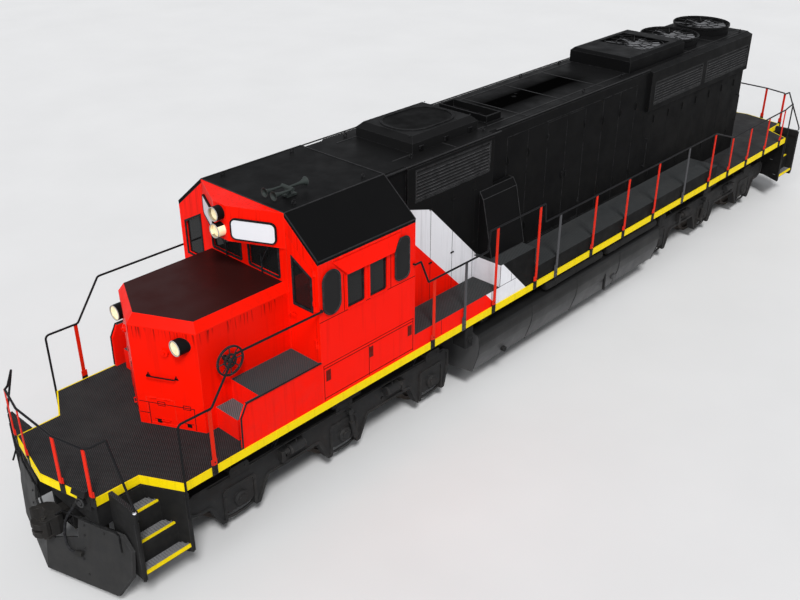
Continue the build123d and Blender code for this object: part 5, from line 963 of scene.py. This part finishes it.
def underframe_details():
    pipes = Shapes()
    pipes.tube([(8.9, 1.46, 1.47), (-8.9, 1.46, 1.47)], 0.020, 10)
    pipes.tube([(4.0, 1.38, 1.46), (-8.4, 1.38, 1.46)], 0.014, 8)
    for x in range(-8, 9):
        pipes.box((x - 0.02, 1.36, 1.44), (x + 0.02, 1.50, 1.57))
    for x in (0.2, -1.6, -3.2):
        pipes.tube([(x, 1.46, 1.47), (x, 1.50, 1.42), (x - 0.15, 1.47, 1.40)], 0.014)
    # drain cocks on the reservoirs
    for x in (0.05, -2.0):
        pipes.rod((x, 1.43, 1.24), (x, 1.43, 1.19), 0.014)
        pipes.box((x - 0.03, 1.42, 1.18), (x + 0.03, 1.44, 1.195))
    pipes.pair("side_pipes", "under")

    tank = Shapes()
    profile = [(1.001, 0.34), (1.411, 0.41), (1.529, 0.77), (1.551, 0.95), (1.529, 1.16)]
    for x in (2.98, 1.45, 0.0, -1.52, -3.08):
        tank.tube(on_end(profile, x), 0.006, 6)
    # sight glass, level gauge and drain
    tank.box((-1.05, 1.50, 0.50), (-1.01, 1.545, 0.86), 0.004)
    tank.rod((-1.03, 1.53, 0.55), (-1.03, 1.53, 0.81), 0.012, 8)
    tank.rod((2.2, 1.46, 0.56), (2.2, 1.53, 0.56), 0.05, 16)
    tank.bolts([(2.2 + 0.035 * math.cos(turn), 1.53, 0.56 + 0.035 * math.sin(turn))
                for turn in (0, 1.05, 2.09, 3.14, 4.19, 5.24)], ACROSS, 0.006, 0.006)
    for x in (2.6, 0.6, -2.6):
        tank.box((x - 0.10, 1.28, 1.22), (x + 0.10, 1.34, 1.57), 0.01)
    tank.rod((0.7, 1.20, 0.36), (0.7, 1.20, 0.31), 0.03, 10)
    tank.pair("tank_seams_and_fittings", "under")

    # brackets and boxes between the tank and the trucks
    boxes = Shapes()
    boxes.box((3.10, 1.20, 1.02), (3.30, 1.50, 1.44), 0.02)
    boxes.box((-3.28, 1.16, 1.06), (-3.14, 1.48, 1.44), 0.02)
    boxes.rod((3.20, 1.49, 1.20), (3.20, 1.53, 1.20), 0.05, 16)
    boxes.pair("under_deck_boxes", "under")

    deck = Shapes()
    for x in (-8.6, -6.85, -5.0, -2.62, 0.83, 3.45, 5.6, 7.4):
        deck.bolts([(x + dx, 1.56, z) for z in (1.54, 1.60) for dx in (0.10, -0.10)], ACROSS, 0.009, 0.007)
    deck.pair("deck_edge_bolts", "yellow")

    posts = Shapes()
    for x in POSTS:
        posts.bolts([(x + dx, 1.572, z) for dx in (-0.027, 0.027) for z in (1.535, 1.60)], ACROSS, 0.011, 0.009)
        posts.bolts([(x, 1.584, 1.72)], ACROSS, 0.011, 0.008)
    posts.pair("stanchion_bolts", "under")


def truck_details(name, end):
    """Bolts, pipes and hoses of one truck, which turn with it."""
    body = f"truck_{name}"

    def at(x, y, z):
        return (end * (TRUCK_X + x), y, z)

    cast = Shapes()
    for axle in AXLES:
        cast.bolts([at(axle + 0.085 * cos, 1.213, 0.508 + 0.085 * sin) for cos, sin in circle(6)], ACROSS, 0.013)
        cast.bolts([at(axle + x, 1.195, 1.03) for x in (-0.10, 0.10)], ACROSS, 0.013)
        # wear plates beside the journal box, and its bottom keeper
        for x in (axle - 0.268, axle + 0.268):
            cast.box(at(x - 0.012, 1.168, 0.30), at(x + 0.012, 1.178, 0.66))
        cast.tube([at(axle + x, y, z) for x, y, z in ((-0.30, 1.09, 0.235), (-0.12, 1.10, 0.205),
                                                      (0.12, 1.10, 0.205), (0.30, 1.09, 0.235))], 0.022)
        cast.bolts([at(axle + x, 1.09, 0.215) for x in (-0.30, 0.30)], (0, 0, -1), 0.016, 0.012)
    for middle in CYLINDERS:
        outward = math.copysign(1, middle)
        for x in (-0.13, 0.13):
            cast.ring(at(middle + x, 1.226, 0.88), ALONG, 0.080, 0.006, 20, 6)
        # bellows over the push rod
        for step in range(5):
            cast.ring(at(middle + outward * (0.165 + 0.014 * step), 1.226, 0.88), ALONG, 0.040 - 0.003 * step,
                      0.010, 16, 6)
        cast.bolts([at(middle + x, 1.16, z) for x in (-0.17, 0.17) for z in (0.83, 0.93)], ACROSS)
    cast.pair(f"truck_bolts_{name}", "iron", body)

    # air pipe along the side frame with branches to the cylinders, and sand pipes to the rail
    pipes = Shapes()
    air = ((-2.35, 1.175, 0.965), (-1.6, 1.175, 0.975), (-1.2, 1.19, 0.995), (1.2, 1.19, 0.995),
           (1.6, 1.175, 0.975), (2.6, 1.175, 0.965))
    sand_ahead = ((2.90, 0.80, 0.80), (2.86, 0.78, 0.60), (2.76, 0.76, 0.34), (2.68, 0.75, 0.13))
    sand_behind = ((-2.42, 1.02, 0.66), (-2.50, 0.90, 0.50), (-2.66, 0.78, 0.32), (-2.68, 0.75, 0.13))
    for route, radius in ((air, 0.012), (sand_ahead, 0.016), (sand_behind, 0.016)):
        pipes.tube([at(*point) for point in route], radius)
    for middle in CYLINDERS:
        pipes.tube([at(middle, 1.19, 0.995), at(middle, 1.235, 1.0), at(middle, 1.235, 0.95)], 0.009)
    pipes.pair(f"truck_pipes_{name}", "iron", body)

    hoses = Shapes()
    for x in (1.45, -1.55):
        points = []
        for share in [step / 8 for step in range(9)]:
            bow = math.sin(math.pi * share)
            points.append(at(x - 0.16 * bow, 1.12 + 0.05 * share, 0.97 + 0.20 * bow * (1 - 0.2 * share)))
        hoses.tube(points, 0.014)
        hoses.rod(points[0], Vector(points[0]) - Vector((0, 0, 0.05)), 0.02, 8)
    hoses.pair(f"truck_hoses_{name}", "rubber", body)

    # traction motors' air bellows and their bolts
    motors = Shapes()
    for axle in AXLES:
        x = axle - 0.50 if axle >= 0 else axle + 0.50
        for step in range(4):
            motors.ring(at(x, 0, 0.895 + 0.018 * step), UPWARD, 0.12, 0.012, 20, 6)
        motors.bolts([at(x + dx, y, 0.88) for dx in (-0.2, 0.2) for y in (-0.4, 0.4)], UPWARD, 0.02, 0.015)
    motors.piece(f"motor_bellows_{name}", "rubber", body)


def cab_interior():
    """Cabinets and levers seen dimly through the cab windows."""
    inside = Shapes()
    for low, high in (((4.72, -1.40, 2.30), (4.98, -0.20, 3.55)), ((4.72, 0.92, 2.30), (4.90, 1.44, 2.95)),
                      ((6.20, -1.44, 2.30), (6.52, -0.55, 3.05)), ((6.25, -1.30, 3.05), (6.45, -0.70, 3.22))):
        inside.box(low, high, 0.02)
    inside.piece("cab_cabinets", "machine")
    levers = Shapes()
    levers.box((5.95, -0.42, 3.54), (5.99, -0.12, 3.74), 0.01)
    levers.tube([(5.72, -0.40, 3.35), (5.62, -0.40, 3.42), (5.55, -0.40, 3.42)], 0.012)
    levers.rod((5.80, -0.20, 3.36), (5.74, -0.20, 3.50), 0.010, 8)
    levers.rod((5.90, -0.30, 3.40), (5.84, -0.30, 3.54), 0.010, 8)
    levers.piece("control_levers", "black")


def deflector_plates():
    """Wind deflectors beside the side windows, with a pressed rim."""
    plates = Shapes()
    # the rear one's top corner is cut back beside the sunshade's end
    rear = [(0.158, 0.185), (0.062, 0.325), (0.040, 0.345)] + rounded_box(0.317, 0.69, 0.10, 8)[9:]
    round_ended = rounded_box(0.345, 0.69, 0.168, 8)
    for x, outline in ((6.37, round_ended), (4.943, rear)):
        plates.plate(on_side(outline, x, CAB_WALL_Y + 0.010, 3.365), (0, 0.012, 0))
        inner = [(0.88 * along, 0.94 * rise) for along, rise in outline]
        plates.frame([on_side(points, x, CAB_WALL_Y + 0.022, 3.365) for points in (outline, inner)], (0, 0.006, 0))
        for z in (3.17, 3.50):
            plates.box((x - 0.015, CAB_WALL_Y - 0.002, z - 0.015), (x + 0.015, CAB_WALL_Y + 0.012, z + 0.015))
    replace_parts(plates.pair("deflector_plates", "grille"), "wind_deflectors")


def door_panes():
    """Dark panes just outside those in the cab doors: painted shade of the cab's inside."""
    outline = [(1.032, 3.092), (1.398, 3.092), (1.398, 3.599), (1.032, 3.798)]
    for end, wall, facing in CAB_ENDS:
        pane = Shapes()
        pane.plate(on_end(outline, wall - facing * 0.012, side=facing), (facing * 0.004, 0, 0))
        pane.piece(f"door_pane_{end}", "pane", f"cab_door_{end}")


def add_floor():
    """Plain pale floor under the wheels, out to the horizon."""
    mesh = bpy.data.meshes.new("floor")
    corners = [(x * FLOOR_REACH, y * FLOOR_REACH, 0) for x, y in ((-1, -1), (1, -1), (1, 1), (-1, 1))]
    mesh.from_pydata(corners, [], [(0, 1, 2, 3)])
    paint = Paint("floor_grey", roughness=0.75)
    paint.put("Base Color", paint.mix(paint.noise(0.4, 3), (0.60, 0.60, 0.60), (0.66, 0.66, 0.66)))
    mesh.materials.append(paint.material)
    add_object("floor", mesh)


HOSE_ROUTE = [(10.060, 0.505, 1.290), (10.105, 0.470, 1.215), (10.145, 0.415, 1.110), (10.175, 0.385, 0.985),
              (10.195, 0.375, 0.855), (10.210, 0.385, 0.735), (10.213, 0.430, 0.650), (10.200, 0.495, 0.612),
              (10.180, 0.565, 0.620)]
HOSE_DIAMETER = 0.038


def add_hose():
    """Front brake hose, hanging from its cock to the coupling."""
    curve = bpy.data.curves.new("air_hose", "CURVE")
    curve.dimensions = "3D"
    curve.bevel_depth = HOSE_DIAMETER / 2
    curve.bevel_resolution = 6
    curve.resolution_u = 16
    curve.use_fill_caps = True
    spline = curve.splines.new("NURBS")
    spline.points.add(len(HOSE_ROUTE) - 1)
    for point, place in zip(spline.points, HOSE_ROUTE):
        point.co = (place[0], place[1], place[2] + RAIL, 1)
    spline.order_u = 3
    spline.use_endpoint_u = True
    piece = add_object("air_hose", curve)
    curve.materials.append(paints["rubber"])
    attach(piece, "locomotive")
    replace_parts(piece, "brake_hose")


set_camera()
set_studio()
make_paints()
add_floor()
dress_frame()
add_hose()
cab_details()
roof_details()
hood_details()
step_details()
end_details()
nose_details()
board_frames()
underframe_details()
cab_interior()
deflector_plates()
door_panes()
truck_details("front", 1)
truck_details("rear", -1)
